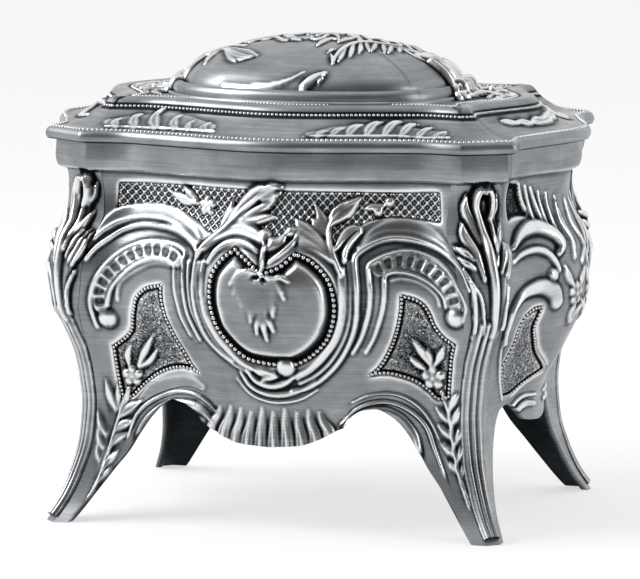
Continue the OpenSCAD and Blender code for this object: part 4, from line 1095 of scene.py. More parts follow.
# %% Corner castings
def corner_line(z, across):
    """Points across the canted corner of +X and +Y, in mm from its middle, with outward normals."""
    a, b = cuts(z, 0)
    out, shift = curve(PROFILE, z), curve(SHIFT, z)
    half_x, half_y = CORNER_X + out + shift, CORNER_Y + out - shift
    chord = np.hypot(a, b)
    seam = (a - 2 * shift) / (a + b)
    mid = np.stack([half_x - a + seam * a, half_y - seam * b], -1)
    way = np.stack([a, -b], -1) / chord[..., None]
    limit = np.where(across > 0, (1 - seam) * chord, seam * chord)
    on_cant = np.clip(across, -seam * chord, (1 - seam) * chord)
    rest = np.abs(across) - np.abs(on_cant)
    long_way, short_way = np.array([-1.0, -0.02]), np.array([-0.02, -1.0])
    away = np.where((across > 0)[..., None], short_way, long_way)
    p = mid + way * on_cant[..., None] + rest[..., None] * away
    turn = np.pi / 4 - np.clip(across / (limit + 2.5), -1, 1) * np.pi / 4 * 0.9
    return p, np.stack([np.cos(turn), np.sin(turn)], -1)


STRIP_LOW, LEAF_TOP = 1.5, 93.2
CORNER_WIDTH = [(STRIP_LOW, 2.3), (10, 2.8), (20, 3.3), (45, 3.6), (50, 4.6), (56, 6.4), (64, 8.2),
                (80, 8.8), (86, 7.4), (LEAF_TOP, 6.4)]
FLIPS = {"front_left": (-1, -1), "front_right": (1, -1), "back_left": (-1, 1), "back_right": (1, 1)}


# %% [markdown]
# The leaf is drawn flat and then wrapped over the corner: a ribbed back, blades on both sides, and a
# thick stem that rises through it and curls over at the top. All four castings come from this one
# drawing.

# %% The corner leaf and the four castings
CORNER_LEAF = [
    ("band", [3, 4.4, 5, 4.2, 2.6], 0.4, [(0, 54), (-0.3, 64), (-0.5, 72), (-0.6, 80), (-1.4, 86)]),
    ("blade", [0.5, 1.3, 1.1, 0.2], 1.5, [(0.6, 77.5), (1.8, 83), (2.7, 86.6), (2.4, 89.8)]),
    ("blade", [0.5, 1.2, 1.3, 0.2], 1.5, [(1.1, 68.6), (2.5, 75.2), (4, 79.6), (4.2, 83)]),
    ("blade", [0.4, 1, 0.2], 1.3, [(3.4, 73.6), (5.6, 75.8), (7.7, 76.8)]),
    ("blade", [0.4, 0.9, 0.2], 1.2, [(3.4, 71.6), (5.4, 73), (7.2, 74.4)]),
    ("blade", [0.5, 0.9, 0.2], 1.3, [(-3.9, 83.6), (-4.8, 86.6), (-5.5, 89.6)]),
    ("blade", [0.4, 0.8, 0.2], 1.3, [(-3.2, 74.8), (-4.7, 78.8), (-5.9, 82.4)]),
    ("blade", [0.4, 0.7, 0.2], 1.3, [(-3.6, 70.4), (-5, 74.2), (-5.7, 77.6)]),
    *each("blade", [0.4, 0.8, 0.2], 1.2, [(-5, 69.4), (-6.5, 73.8), (-7.1, 77.6)], [(-6, 68.6),
           (-7.8, 73), (-8.4, 77)]),
    ("roll", [0.4, 0.45, 0.4, 0.3], 1, [(6.2, 71.4), (4.4, 66.6), (3.6, 60.8), (3.2, 55)]),
    ("roll", [0.3, 0.5, 0.5, 0.3], 1.1, [(5.5, 69.2), (2.4, 64.2), (1.4, 59.2), (0.9, 54.6)]),
    ("roll", [0.3, 0.4, 0.3], 1, [(-6.8, 66.8), (-4.8, 61.6), (-4.2, 55.2)]),
    ("roll", [0.4, 0.6, 0.5], 1.7, [(-3, 84.4), (-3.4, 79.4), (-2.6, 72)]),
    ("roll", [1, 1.2, 1.3, 1.2, 1], [1.3, 1.9, 2.2, 2.3, 2.4], [(-1.6, 54), (-1.5, 66), (-1.1, 73),
        (-0.9, 78.4), (-0.2, 83)]),
    ("roll", [1, 1, 1, 1, 0.9, 0.8, 0.7], [2.4, 2.8, 3.1, 3.2, 3.1, 2.7, 2], [(-0.4, 82), (0.2, 87.2),
        (-0.7, 90.8), (-2.1, 91.9), (-3.7, 90.2), (-3.9, 86.4), (-3, 83.4)])]


print(len(CORNER_LEAF), "strokes in a corner leaf")


def corner_relief(x, z):
    """Three reeds up the leg, and the leaf whose tip curls into a loop, x towards the left as seen."""
    r = Relief(x, z, -0.6)
    ends = [(0, STRIP_LOW), (0, 12), (0, 30), (0, 50), (0, 57)]
    for offset, width, height in ((-1.75, 0.8, 1.0), (0, 0.85, 1.15), (1.75, 0.8, 1.0)):
        line = [(offset * (0.65 if z < 10 else 0.8 if z < 20 else 1), z, width, height) for _, z in ends]
        stroke(r, line, roll, 0.0, step=2)
    stroke(r, [(0, STRIP_LOW, 2.2, 0.5), (0, 20, 2.9, 0.5), (0, 50, 3.3, 0.5), (0, 60, 3.4, 0.4)], band,
           0.0, step=2)
    ornament(r, CORNER_LEAF, base=0.0)
    return r


for corner, (flip_x, flip_y) in FLIPS.items():
    def corner_place(u, v, thickness=0):
        z = mix(STRIP_LOW, LEAF_TOP, (v + 1) / 2)
        p, n = corner_line(z, -u * curve(CORNER_WIDTH, z) * flip_x * flip_y)
        p = p + n * (0.45 - thickness)
        return np.stack([p[..., 0] * flip_x, p[..., 1] * flip_y, z], -1)

    def corner_relief_of(u, v):
        z = mix(STRIP_LOW, LEAF_TOP, (v + 1) / 2)
        return corner_relief(-u * curve(CORNER_WIDTH, z), z)

    piece = casting(f"corner_leaf_{corner}", 64, 260, (16, 52), corner_place, corner_relief_of, 1.7, pewter)
    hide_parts(f"corner_casting_{corner}")

# %% [markdown]
# ## Lid
# The lid is one casting: a rounded rim with a row of beads, a wide hollow moulding with leaves in it, a
# rounded step, a second row of beads, a flat shelf, and a low dome inside a rolled border. Rings that
# follow the outline of the box carry the mouldings; rings that turn into a rounded oblong carry the
# dome.

# %% Lid rings
LID_Z, REVEAL, RIM_H, COVE_W, COVE_H, STEP_W, STEP_H = BODY_H + 0.25, 2.6, 3.2, 11.8, 5.3, 6.6, 2.4
BORDER_X, BORDER_Y, BORDER_W, DOME_LIP, DOME_H = 41, 34.4, 4.6, 2.4, 12.4
COVE_IN = 1.8
STEP_IN = COVE_IN + COVE_W
SHELF_IN = STEP_IN + STEP_W
SHELF_Z = RIM_H + COVE_H + STEP_H - 0.4
DOME_BASE = SHELF_Z + DOME_LIP


def box_line(t, z, inset, spread=1.0):
    """The outline of the box at a height, drawn in by an inset, t from 0 to 4 round its four sides."""
    q = np.floor(t).astype(int) % 4
    w = 1 - 2 * (t - np.floor(t))
    w = np.sign(w) * np.abs(w) ** spread
    long_x, long_y = section(LONG, np.full(t.shape, z), inset, w)
    short_x, short_y = section(SHORT, np.full(t.shape, z), inset, w)
    sides = [q == 0, q == 1, q == 2, q == 3]
    x = np.select(sides, [long_x, -short_y, -long_x, short_y])
    return x, np.select(sides, [long_y, short_x, -long_y, -short_x])


def lid_line(t, inset):
    """The lid's outline, drawn in by an inset and straight along the hinge."""
    x, y = box_line(t, BODY_H, inset - REVEAL, spread=0.96)
    return x, np.where(np.floor(t) % 4 == 0, np.minimum(y, HINGE_FLAT_Y - 0.5 - inset + REVEAL), y)


RIM_PROFILE = [(6.8, 1.6), (6, 0), (5, 0), (1.1, 0), (0.3, 0.5), (0, 1.4), (0.25, 2.5), (0.9, 3.2),
    (1.8, 3.3), (3.2, 3.32), (5.3, 3.7), (8.9, 5), (11.7, 6.8), (13.1, 8.1), (13.7, 8.5), (14.1, 9.3),
    (14.9, 10.4), (16.2, 10.95), (18.4, 10.85), (20.2, 10.5)]


def lid_normal(p):
    """Normals of rings of points, each ring closed on itself."""
    n = np.cross(np.roll(p, -1, 1) - np.roll(p, 1, 1), np.gradient(p, axis=0))
    n /= np.maximum(np.linalg.norm(n, axis=-1, keepdims=True), 1e-9)
    return n


def shell_of(rings, patina=None):
    """A closed shell through rings of points, welded along its seam and at its poles."""
    p = np.array(rings)
    bm = bmesh.new()
    bmesh.ops.create_grid(bm, x_segments=p.shape[1], y_segments=len(p) - 1, size=1)
    for vert, co in zip(bm.verts, np.concatenate([p, p[:, :1]], 1).reshape(-1, 3) * MM):
        vert.co = co
    if patina is not None:
        layer = bm.verts.layers.float.new("patina")
        for vert, value in zip(bm.verts, np.concatenate([patina, patina[:, :1]], 1).ravel()):
            vert[layer] = value
    bmesh.ops.remove_doubles(bm, verts=bm.verts, dist=1e-6)
    bmesh.ops.recalc_face_normals(bm, faces=bm.faces)
    return bm


def ring_piece(name, rings, relief_of):
    """A part of the lid from closed rings of points, pushed out by its relief."""
    base = np.array(rings)
    relief = relief_of(base)
    normal = lid_normal(base)
    if normal[len(rings) // 3, 0, 2] < 0:
        normal = -normal
    bm = shell_of(base + normal * relief.h[..., None], patina_of(relief))
    piece = new_piece(name, bm, pewter, "lid")
    return piece


RIM_ROW, STEP_ROW, SHELF_ROW = 1.5, 13.75, 19.9
UNDER_RIM = 14


def lid_rim():
    """The rim, the hollow moulding and the step, with a darkened seat for each row of beads."""
    around = 1040
    t = np.linspace(0, 4, around, endpoint=False)
    profile = spine([(a, b, 0, 0) for a, b in RIM_PROFILE], 0.42)[:, :2]
    back = [(20.2, 8.6), (15.4, 6.9), (11.7, 4.2), (8.5, 2.6)]
    rings = [np.stack([*lid_line(t, a), np.full(around, LID_Z + b)], -1) for a, b in list(profile) + back]
    rings.append(rings[0])

    def relief_of(p):
        r = Relief(p[..., 0], p[..., 1], 0)
        for row in (RIM_ROW, STEP_ROW, SHELF_ROW):
            seat = np.argmin(np.abs(profile[UNDER_RIM:, 0] - row)) + UNDER_RIM
            r.tone[seat - 2:seat + 3] = 0.4
        ornament_lid(r, [LID_FRONDS])
        r.h[len(profile) - 2:] = 0
        r.h[:UNDER_RIM] = 0
        return r
    return ring_piece("lid_mouldings", rings, relief_of)


def ornament_lid(r, lists):
    """The leaves of the lid seen from above, and the same turned half round for the back."""
    for entries in lists:
        ornament(r, entries, base=0.0)
        turned_round = [(kind, w, h, [(-x, -y) for x, y in points]) for kind, w, h, points in entries]
        ornament(r, turned_round, base=0.0)


# %% [markdown]
# The leaves of the lid are given from above, in mm to the right of and behind its middle. The
# photograph shows the front half; the same strokes turned half round serve for the back.

# %% Border profile and leaves on the dome
BORDER_PROFILE = [(0, 0), (0.1, 0.5), (0.5, 0.9), (1, 0.75), (1.3, 0.3), (1.35, 1.3), (1.5, 2.3),
    (2.1, 3.2), (3, 3.5), (3.8, 3.2), (4.3, 2.6), (4.6, 2.2)]
DOME_LEAVES = [
    ("blade", [0.3, 1.5, 0.4], 0.6, [(-27.6, -16), (-28.1, -8.5), (-27, -2.4)]),
    ("blade", [0.4, 1.6, 1.5, 0.4], 0.5, [(-27.1, -2.3), (-20.6, -12.4), (-16.1, -16.4), (-11.9, -19.7)]),
    ("blade", [0.4, 1.2, 1.4, 0.6], 0.75, [(-26.1, -5.3), (-19.8, -15.8), (-15.9, -19.5), (-13.3, -20.2)]),
    ("blade", [0.4, 0.9, 0.2], 0.6, [(-23.3, -11.6), (-19.7, -18.3), (-17.3, -21.5)]),
    ("blade", [0.4, 0.8, 0.2], 0.6, [(-19.5, -16.6), (-17.1, -19.9), (-15.6, -21.3)]),
    ("blade", [0.4, 1.5, 1.2, 0.3], 0.6, [(-26.1, -1.7), (-24.1, 0.9), (-21.5, 2.6), (-18.5, 3.7)]),
    ("blade", [0.3, 0.8, 0.5], 0.6, [(-24.9, -0.2), (-20.2, -8.1), (-18.5, -9.1)]),
    ("blade", [0.3, 0.8, 0.6], 0.4, [(-17.6, 4), (-15.5, 4.8), (-12.5, 5.3)]),
    *each("blade", [0.6, 1.6, 0.8], 0.8, [(-12.4, 5.4), (-6.6, -5.8), (-4.1, -8.4)], [(-4.2, -7.4),
           (-2.8, -5.9), (-2, -3.4)]),
    ("roll", [0.3, 0.35, 0.4, 0.4, 0.3], 0.35, [(-19.5, -26.8), (-13.9, -28.5), (-8.9, -29.2),
        (-4.2, -29.2), (0.2, -28.3), (3.1, -26.6)]),
    ("blade", [0.3, 0.9, 0.8, 0.2], 0.6, [(3.1, -29.6), (5.2, -28.4), (7, -27.3), (8.9, -25.9)]),
    ("roll", [0.25, 0.3, 0.2], 0.75, [(7.7, -28.5), (8.6, -27.6), (9, -26.2)]),
    ("roll", [0.3, 0.3], 0.8, [(3.7, -29.3), (4.6, -29.8)]),
    ("roll", [0.3, 0.6, 0.8, 0.8, 0.7, 0.5], 0.8, [(9.9, -22.7), (9.7, -19.3), (10.1, -13.6), (11.5, -8),
        (13.8, -4.7), (17.3, -3.3), (21.5, -0.2)]),
    *each("blade", [0.5, 0.7, 0.15], 0.65, [(10.6, -14.3), (11, -18.9), (11, -22.1)], [(11.3, -9.4),
           (12.7, -15.5), (13.3, -19.3)], [(12.6, -7.2), (14.2, -12.1), (14.8, -16)], [(13.5, -5.5),
           (15.4, -9.6), (16.8, -12.8)], [(15.9, -3.4), (16.8, -9), (17.3, -12.7)], [(17.5, -3),
           (19.3, -7.5), (20.5, -11)], [(19.7, -2), (20.7, -7.1), (21.3, -10.5)], [(21.2, -0.2),
           (22.4, -4.1), (23.1, -6.7)]),
    ("roll", [0.3, 0.5, 0.3], 0.7, [(7.1, -17.8), (7.3, -16.1), (8.1, -15.4)]),
    ("roll", [0.3, 0.4, 0.3], 0.7, [(10, -22.9), (9, -20.6), (8.2, -19)]),
    ("blade", [0.4, 1, 0.8, 0.3], 0.8, [(2.7, -13.3), (3, -9), (4.1, -6), (6.2, -6.7)]),
    ("roll", [0.3, 0.5, 0.5, 0.4, 0.3], 0.8, [(-0.8, -2.8), (-1.7, 6.8), (0.8, 7), (4, 0.4), (7.2, -9)]),
    ("blade", [0.5, 1.1, 0.5], 0.8, [(7.2, -9), (8, -4.3), (10.4, -0.1)]),
    *each("blade", [0.3, 0.9, 0.3], 0.7, [(7.5, 3.8), (8, 8.6), (14, -1.7)], [(13, 2.6), (15.2, 3.6),
           (18.5, 0.1)]),
    ("blade", [0.3, 0.8, 0.3], 0.7, [(17, 3.4), (18.9, 4.5), (20.7, 3.1)]),
    *each("roll", [0.3, 0.3], 0.5, [(22, -1.2), (25.3, -1.8), (28.6, -4.5)], [(22.8, -2.7), (27.1, -4.8),
           (30.1, -4.7)])]
print(len(DOME_LEAVES), "strokes on half the dome")

# %% Shells and scrolls that clasp the ends of the dome
LID_CLASP = [
    ("roll", [1, 1.7, 2, 1.8, 1.2, 0.5], [0.9, 1.5, 1.7, 1.6, 1.3, 0.8], [(27, -2.5), (30.5, 0.5),
        (34, 1.2), (38, 3.2), (42, 5.6), (46.5, 6.2)]),
    ("roll", [0.5, 0.9, 0.8, 0.4], 1.8, [(30.6, -4.6), (34.2, -4.6), (38, -3), (41.2, -1.4)]),
    *each("roll", [0.4, 0.8, 0.3], 1.4, [(38.3, -7.6), (40, -9.4), (42.2, -11.8)], [(38.9, -5.4),
           (40.8, -6.4), (43, -8)], [(39.5, -3.1), (41.6, -3.2), (44, -3.6)], [(40.1, -0.6), (42.6, 0.6),
           (45, 0.8)]),
    ("blade", [0.8, 2.2, 1.6, 0.6], 1.4, [(31, 6), (34.6, 9.6), (38.4, 13.6), (41.6, 16)]),
    ("ball", 1, 2.2, [(43.4, 11.6)]),
    ("ball", 0.9, 1.8, [(46.6, 14.6)]),
    ("ball", 0.8, 1.6, [(44.6, 16.4)]),
    ("blade", [0.4, 1.3, 0.4], 1.6, [(43.6, 12.6), (46.6, 17.6), (46.8, 22.6)]),
    ("blade", [0.4, 1.2, 0.4], 1.4, [(45.4, 9), (48.6, 11.4), (50.4, 14.8)]),
    ("roll", [0.4, 0.6, 0.6, 0.4], 1.2, [(42.6, 19.6), (45.2, 24), (44.8, 28.6), (41.8, 31.4)]),
    ("roll", [0.3, 0.5, 0.3], 0.9, [(46.8, 2.8), (49.6, 3.4), (51.4, 6.4)]),
    ("ball", 0.75, 1.1, [(-50.1, -11.6)]),
    ("ball", 0.65, 1, [(-48.4, -10)]),
    ("ball", 0.7, 1.1, [(-44.7, -11.8)]),
    ("ball", 0.6, 1, [(-42.3, -14.2)]),
    ("blade", [0.4, 1.1, 0.4], 0.9, [(-50.6, 5), (-50, 8.6), (-48.8, 12.2)]),
    ("blade", [0.5, 1.3, 0.5], 0.9, [(-50.8, -4.7), (-51.2, -2.3), (-51, 0.2)]),
    ("blade", [0.3, 0.9, 0.3], 0.8, [(-50.4, -1.5), (-49.3, 0.8), (-48.6, 3.2)]),
    ("blade", [0.3, 0.8, 0.3], 0.7, [(-50, -13.5), (-48.6, -17.4), (-46.4, -20.4)]),
    ("roll", [0.3, 0.7, 0.5], 0.8, [(-47.4, 5), (-46.4, 0.6), (-46.2, -4.6)]),
    ("blade", [0.4, 1, 0.3], 0.7, [(-46.2, -7.2), (-42.4, -15.6), (-38, -21.6)])]
print(len(LID_CLASP), "strokes in the clasps")

# %% Fronds in the hollow moulding
LID_FRONDS = [
    ("band", [1, 2.4, 2.8, 2.6, 1.6], 0.25, [(11, -46.6), (18, -43.6), (27, -40.8), (35, -38.6),
        (44, -38.6)]),
    ("roll", [0.3, 0.5, 0.5, 0.4, 0.3], 0.6, [(10, -48.4), (18, -46), (27, -43), (36, -40.9),
        (47, -40.6)]),
    ("blade", [0.9, 1.3, 0.9, 0.2], 0.6, [(13.4, -47.2), (13.4, -46), (14.2, -44.6), (15.6, -43.8)]),
    ("blade", [0.9, 1.4, 0.9, 0.2], 0.6, [(17, -45.8), (17, -44), (17.8, -42.4), (19.2, -41.6)]),
    ("blade", [1, 1.6, 1.1, 0.2], 0.65, [(21, -44.4), (20.8, -41.9), (21.6, -40.1), (23.2, -39)]),
    ("blade", [1, 1.7, 1.1, 0.2], 0.7, [(25.4, -43), (25.2, -40), (26, -37.9), (27.8, -36.6)]),
    ("blade", [1, 1.5, 1, 0.2], 0.7, [(29.8, -41.8), (29.8, -38.5), (30.8, -36.2), (32.6, -35.2)]),
    ("blade", [1, 1.5, 1, 0.2], 0.65, [(34, -41), (34.2, -37.7), (35, -35.6), (36.8, -34.8)]),
    ("blade", [1, 1.5, 1, 0.2], 0.6, [(38.6, -40.5), (38.6, -38.1), (39.4, -36.3), (41.2, -35.6)]),
    ("blade", [0.9, 1.3, 0.9, 0.2], 0.55, [(43, -40.6), (43, -39.1), (43.8, -37.9), (45.4, -37.4)]),
    ("band", [1.2, 2.6, 3, 2.6, 1.4], 0.25, [(-47, -38.4), (-40.4, -37.4), (-33.4, -37.6), (-26.4, -39.6),
        (-17, -43.6)]),
    ("roll", [0.3, 0.5, 0.5, 0.4, 0.3], 0.6, [(-47, -40.8), (-40, -40.4), (-33, -41.4), (-26, -43),
        (-15, -46.4)]),
    ("blade", [1, 1.5, 1, 0.2], 0.65, [(-44.2, -40.6), (-45, -39), (-45, -37.4), (-43.8, -36.4)]),
    ("blade", [1.1, 1.8, 1.2, 0.2], 0.7, [(-39, -40.4), (-40.4, -37.4), (-40.4, -35.4), (-38.6, -34.2)]),
    ("blade", [1.2, 2, 1.3, 0.2], 0.75, [(-32.8, -41.4), (-34.6, -37.4), (-34.6, -34.8), (-32.4, -33.6)]),
    ("blade", [1, 1.6, 1.1, 0.2], 0.65, [(-27, -42.6), (-28.4, -39.6), (-28.4, -37.6), (-26.8, -36.8)]),
    ("blade", [0.8, 1.2, 0.8, 0.2], 0.6, [(-22.8, -44), (-23.8, -41.7), (-23.6, -40.2), (-22.4, -39.6)]),
    ("blade", [0.9, 1.5, 1, 0.2], 0.55, [(-18.1, -45.2), (-19, -43.6), (-18.6, -42.2), (-17.2, -41.6)]),
    ("blade", [0.4, 1.2, 0.5], 0.7, [(54.8, -19.7), (56.2, -17.6), (58.2, -15.1)]),
    ("blade", [0.4, 1.5, 0.6], 0.7, [(57.6, -15.1), (59.4, -13), (61, -11)]),
    ("blade", [0.4, 1.6, 0.6], 0.7, [(60.4, -10.6), (61.6, -7.8), (62.2, -5.1)]),
    ("blade", [0.4, 1.5, 0.6], 0.7, [(62, -4.6), (62.6, -0.6), (62.4, 3.6)]),
    ("roll", [0.4, 0.9, 1, 0.9, 0.5], 0.8, [(57.4, 12), (60.4, 8), (62.8, 12), (62, 17.4), (59, 20)]),
    ("blade", [0.4, 1.5, 1.2, 0.4], 0.7, [(-61.4, -2), (-62.8, 3.4), (-62, 8.8), (-60.2, 12)]),
    ("ball", 0.8, 0.8, [(-60.8, -5)]),
    ("blade", [0.4, 1.4, 0.5], 0.7, [(-52.2, -27.6), (-54.2, -23.6), (-56.4, -19.6)])]


print(len(LID_FRONDS), "strokes in the moulding")

# %% [markdown]
# In plan the dome is a rounded oblong between an ellipse and a rectangle. Its shell starts at the
# shelf, rises over the rolled border, crosses the dome to its top and comes back underneath, so that it
# is closed.

# %% Dome and the two pieces of the lid
SQUARENESS = 2.4


def oblong_reach(x, y, half_x, half_y):
    """1 on the rounded oblong, 0 in its middle."""
    return (np.abs(x / half_x) ** SQUARENESS + np.abs(y / half_y) ** SQUARENESS) ** (1 / SQUARENESS)


def dome_height(x, y):
    """Height of the dome over the rim of the walls at a place in plan."""
    r = oblong_reach(x, y, BORDER_X - BORDER_W, BORDER_Y - BORDER_W)
    return DOME_BASE + DOME_H * np.clip(1 - r**2, 0, 1) ** 0.52


def oblong(angle, half_x, half_y):
    """Points of the rounded oblong at given angles."""
    c, s = np.cos(angle), np.sin(angle)
    r = 1 / oblong_reach(c, s, half_x, half_y)
    return r * c, r * s


def lid_dome():
    """The shelf, the rolled border and the dome with its leaves."""
    around = 680
    t = np.linspace(0, 4, around, endpoint=False)
    gx, gy = lid_line(t, SHELF_IN)
    angle = np.arctan2(gy, gx)
    rings = []

    def ring(x, y, z):
        rings.append(np.stack([x, y, np.zeros(around) + LID_Z + z], -1))
    for s in np.linspace(0, 1, 14):
        ox, oy = oblong(angle, BORDER_X, BORDER_Y)
        ring(mix(gx, ox, s), mix(gy, oy, s), SHELF_Z)
    for draw_in, z in spine([(a, b, 0, 0) for a, b in BORDER_PROFILE], 0.28)[:, :2]:
        ox, oy = oblong(angle, BORDER_X - draw_in, BORDER_Y - draw_in)
        ring(ox, oy, SHELF_Z + z)
    for scale in np.linspace(0.995, 0, 84):
        ox, oy = oblong(angle, BORDER_X - BORDER_W, BORDER_Y - BORDER_W)
        x, y = ox * scale, oy * scale
        ring(x, y, dome_height(x, y))
    top = len(rings)
    for scale in np.linspace(0, 0.96, 6):
        ox, oy = oblong(angle, BORDER_X - BORDER_W - 2, BORDER_Y - BORDER_W - 2)
        x, y = ox * scale, oy * scale
        ring(x, y, dome_height(x, y) - WALL)
    ring(*oblong(angle, BORDER_X - 3, BORDER_Y - 3), SHELF_Z - WALL)
    ring(gx, gy, SHELF_Z - WALL)
    rings.append(rings[0])

    def relief_of(p):
        r = Relief(p[..., 0], p[..., 1], 0)
        ornament_lid(r, [DOME_LEAVES, LID_CLASP])
        r.h[top - 2:] = 0
        r.h[:1] = 0
        return r
    return ring_piece("lid_dome", rings, relief_of)


mouldings, dome = lid_rim(), lid_dome()
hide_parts("lid")
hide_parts("lid")


# %% [markdown]
# Three rows of beads follow the lid: on the rim, at the foot of the step and along the shelf.

# %% Beads of the lid
def lid_row(inset, z, pitch):
    """Bead centres at an inset and a height on the lid."""
    t = np.linspace(0, 4, 1200, endpoint=False)
    x, y = lid_line(t, inset)
    return along_line([tuple(p) for p in np.stack([x, y, np.full(t.shape, LID_Z + z)], -1)], pitch)


beading("lid_beading_rim", lid_row(RIM_ROW, 3.35, 1.25), 0.5, "lid")
beading("lid_beading_step", lid_row(STEP_ROW, 8.55, 1.15), 0.48, "lid")
beading("lid_beading_shelf", lid_row(SHELF_ROW, 10.65, 1.0), 0.4, "lid")

# %% [markdown]
# ## Velvet
# The inside is lined with thin card wrapped in velvet over a little wadding. Each wall panel is a soft
# slab that swells by a third of a millimetre in its middle. The cloth itself is a matt dark red with a
# sheen at glancing angles and a slow change of tint, which reads as pile that has been stroked.

# %% Velvet lining
def velvet_material():
    material, shader = new_material("dark_red_velvet_pile")
    place = add(material, "ShaderNodeTexCoord").outputs["Object"]
    pile = add(material, "ShaderNodeTexNoise", [("Scale", 2600.0), ("Detail", 2.0)], Vector=place)
    crush = add(material, "ShaderNodeTexNoise", [("Scale", 70.0), ("Detail", 3.0)], Vector=place)
    tint = add(material, "ShaderNodeValToRGB", _0=crush.outputs["Fac"])
    for stop, colour in zip(tint.color_ramp.elements, ("#2a0d14", "#5c1a2a")):
        stop.color = linear(colour)
    bump = add(material, "ShaderNodeBump", [("Strength", 0.5), ("Distance", 0.0003)],
               Height=pile.outputs["Fac"])
    material.node_tree.links.new(tint.outputs["Color"], shader.inputs["Base Color"])
    material.node_tree.links.new(bump.outputs["Normal"], shader.inputs["Normal"])
    shader.inputs["Roughness"].default_value = 0.9
    shader.inputs["Sheen Weight"].default_value = 0.8
    shader.inputs["Sheen Roughness"].default_value = 0.4
    return material


velvet = velvet_material()
FLOOR_TOP, LINING_TOP, CLEAR, CARD, SWELL = 37.6, BODY_H - 1, 0.5, 1.2, 0.35


def wall_lining(side, side_name):
    """Carries a slab onto the inside of a wall, its face swelling a little."""
    def place(u, v, thickness=0):
        z = mix(FLOOR_TOP, LINING_TOP, (v + 1) / 2)
        swell = 0
        if thickness == 0:
            swell = SWELL * (1 - np.clip(np.abs(u), 0, 1) ** 6) * (1 - np.clip(np.abs(v), 0, 1) ** 6)
        x, depth = section(side, z, WALL + CLEAR + CARD - thickness, u * 0.995)
        if side_name == "back":
            flat = HINGE_FLAT_Y - WALL - CLEAR - CARD + thickness
            depth = np.where(z > BAND_Z - 4, np.minimum(depth, flat), depth)
        return turned(side_name, x * 0.99, depth - swell, z)
    return place


for side_name in ("front", "back", "left", "right"):
    side = LONG if side_name in ("front", "back") else SHORT
    piece = casting(f"{side_name}_velvet", 60, 40, (10, 10), wall_lining(side, side_name),
                    lambda u, v: Relief(u, v), CARD - 0.05, velvet)
    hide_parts(f"{side_name}_lining")


# %% [markdown]
# The floor and the lid have flat cards. Each is a closed shell of rings that shrink from its outline to
# its middle, over the face and back under it.

# %% Floor and lid cards
def flat_lining(name, node, outline, face, rear, body):
    """A soft sheet inside an outline, between the heights of its face and its back."""
    x, y = outline
    levels = [(1, mix(face, rear, 0.4))] + [(share, face) for share in (0.985, 0.93, 0.8, 0.6, 0.4, 0.2, 0)]
    levels += [(share, rear) for share in (0, 0.5, 0.98)]
    rings = [np.stack([x * share, y * share, np.full(x.shape, z)], -1) for share, z in levels + levels[:1]]
    piece = new_piece(name, shell_of(rings), velvet, body, sharp=75)
    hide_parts(node)


t = np.linspace(0, 4, 260, endpoint=False)
floor_line = box_line(t, FLOOR_TOP, WALL + CARD + 2 * CLEAR + 0.2)
flat_lining("floor_velvet", "floor_lining", floor_line, 37.65 + 1.15, 37.65, "box")
flat_lining("lid_velvet", "lid_lining", lid_line(t, 9.8), LID_Z + 0.85, LID_Z + 0.85 + 1.7, "lid")

# %% [markdown]
# ## Hinge and floor
# These CAD parts already have their shape, so they only get a finish: nickel-plated steel with drawn
# lines along the hinge, and a darker pewter on the floor plate, whose underside was never wiped bright.

# %% Hinge and floor plate
def brushed_steel():
    material, shader = new_material("nickel_plated_steel_hinge")
    place = add(material, "ShaderNodeTexCoord").outputs["Object"]
    stretch = add(material, "ShaderNodeMapping", [("Scale", (200.0, 4000.0, 4000.0))], Vector=place)
    lines = add(material, "ShaderNodeTexNoise", [("Scale", 1.0), ("Detail", 4.0)],
                Vector=stretch.outputs[0])
    rough = add(material, "ShaderNodeMapRange", [("To Min", 0.25), ("To Max", 0.45)],
                Value=lines.outputs["Fac"])
    bump = add(material, "ShaderNodeBump", [("Strength", 0.15), ("Distance", 0.0001)],
               Height=lines.outputs["Fac"])
    shader.inputs["Base Color"].default_value = linear("#b0afab")
    shader.inputs["Metallic"].default_value = 1
    material.node_tree.links.new(rough.outputs["Result"], shader.inputs["Roughness"])
    material.node_tree.links.new(bump.outputs["Normal"], shader.inputs["Normal"])
    return material


hinge_steel = brushed_steel()
dark_cast = antique_pewter("cast_zinc_back_side", silver="#6d7073")
finishes = {"hinge_body_leaf": hinge_steel, "hinge_lid_leaf": hinge_steel, "hinge_pin": hinge_steel,
            "floor_plate": dark_cast}
for node, material in finishes.items():
    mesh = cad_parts[node].data
    mesh.materials.clear()
    mesh.materials.append(material)
    print(node, "in", material.name)

# %% [markdown]
# ## Room and light
# The box stands on white paper. To the eye and in the metal the paper is partly a plain white, so that
# it stays pale to the edge of the picture, and the rest of it is lit as paper is and keeps the box's
# shadow.

# %% White paper
floor_bm = bmesh.new()
bmesh.ops.create_grid(floor_bm, x_segments=1, y_segments=1, size=3)
floor_mesh = bpy.data.meshes.new("floor")
floor_bm.to_mesh(floor_mesh)
floor_bm.free()
floor = bpy.data.objects.new("floor", floor_mesh)
floor.location.z = -0.0002
bpy.context.scene.collection.objects.link(floor)

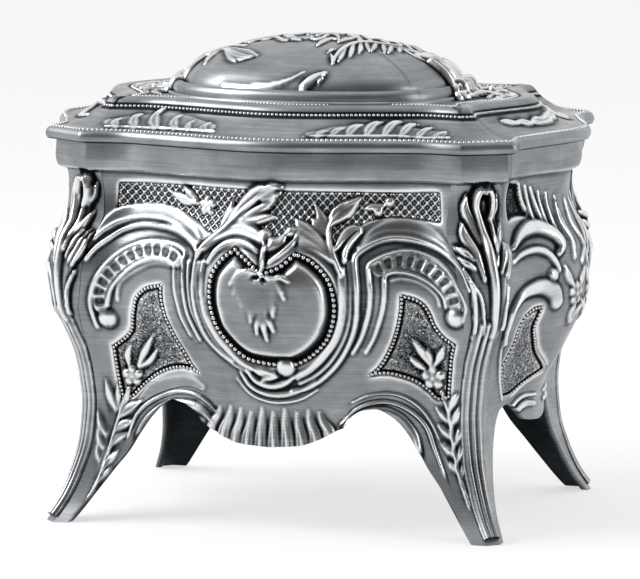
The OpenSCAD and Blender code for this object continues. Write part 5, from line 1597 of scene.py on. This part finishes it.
PAPER_GLOW = 0.6
paper, shader = new_material("white_studio_paper")
shader.inputs["Base Color"].default_value = linear("#fbfbfb")
shader.inputs["Roughness"].default_value = 0.9
rays = add(paper, "ShaderNodeLightPath").outputs
seen = add(paper, "ShaderNodeMath", [("operation", "MAXIMUM")], _0=rays["Is Camera Ray"],
           _1=rays["Is Glossy Ray"])
any_ray = add(paper, "ShaderNodeMath", [("operation", "MAXIMUM")], _0=seen.outputs[0],
              _1=rays["Is Transmission Ray"])
share = add(paper, "ShaderNodeMath", [("operation", "MULTIPLY"), (1, PAPER_GLOW)], _0=any_ray.outputs[0])
white = add(paper, "ShaderNodeEmission")
surface = add(paper, "ShaderNodeMixShader", _0=share.outputs[0], _1=shader.outputs[0], _2=white.outputs[0])
paper.node_tree.links.new(surface.outputs[0], paper.node_tree.nodes["Material Output"].inputs["Surface"])
floor_mesh.materials.append(paper)
print("white paper, a share of", PAPER_GLOW, "plain white")

# %% [markdown]
# Metal shows what surrounds it, so the room matters more than the lamps. A white tent gives the pewter
# its silver, and the dark opening of the tent, at the front right, gives it the grey faces of the
# photograph. A large lamp from the upper left and a narrow one at the right add the broad and the thin
# highlights.

# %% Tent and lamps
OPENING_AZIMUTH, OPENING_RISE, OPENING_LEVEL = 32, 0.12, 0.16
dark_side = (direction(OPENING_AZIMUTH, 0) + Vector((0, 0, OPENING_RISE))).normalized()
world = bpy.data.worlds.new("white_tent_with_a_dark_opening")
bpy.context.scene.world = world
world.use_nodes = True
sky_way = add(world, "ShaderNodeTexCoord").outputs["Generated"]
facing = add(world, "ShaderNodeVectorMath", [("operation", "DOT_PRODUCT"), (1, dark_side)], _0=sky_way)
opening = add(world, "ShaderNodeMapRange", [("interpolation_type", "SMOOTHSTEP"), ("From Min", 0.2),
              ("From Max", 0.8), ("To Min", 1.0), ("To Max", OPENING_LEVEL)], Value=facing.outputs["Value"])
background = world.node_tree.nodes["Background"]
background.inputs["Color"].default_value = (1, 1, 1, 1)
world.node_tree.links.new(opening.outputs["Result"], background.inputs["Strength"])


def lamp(name, azimuth, elevation, distance, width, height, power):
    """A soft rectangular lamp that faces the middle of the box."""
    data = bpy.data.lights.new(name, "AREA")
    data.shape, data.size, data.size_y, data.energy = "RECTANGLE", width, height, power
    light = bpy.data.objects.new(name, data)
    way = direction(azimuth, elevation)
    light.location = Vector((0, 0, 0.06)) + way * distance
    light.rotation_euler = (-way).to_track_quat("-Z", "Y").to_euler()
    bpy.context.scene.collection.objects.link(light)
    print(name, "lamp", power, "W")


lamp("key", -62, 38, 0.8, 0.6, 0.5, 5)
lamp("rim", 82, 16, 0.9, 0.2, 0.6, 1.5)

bpy.context.scene.view_settings.view_transform = "Standard"
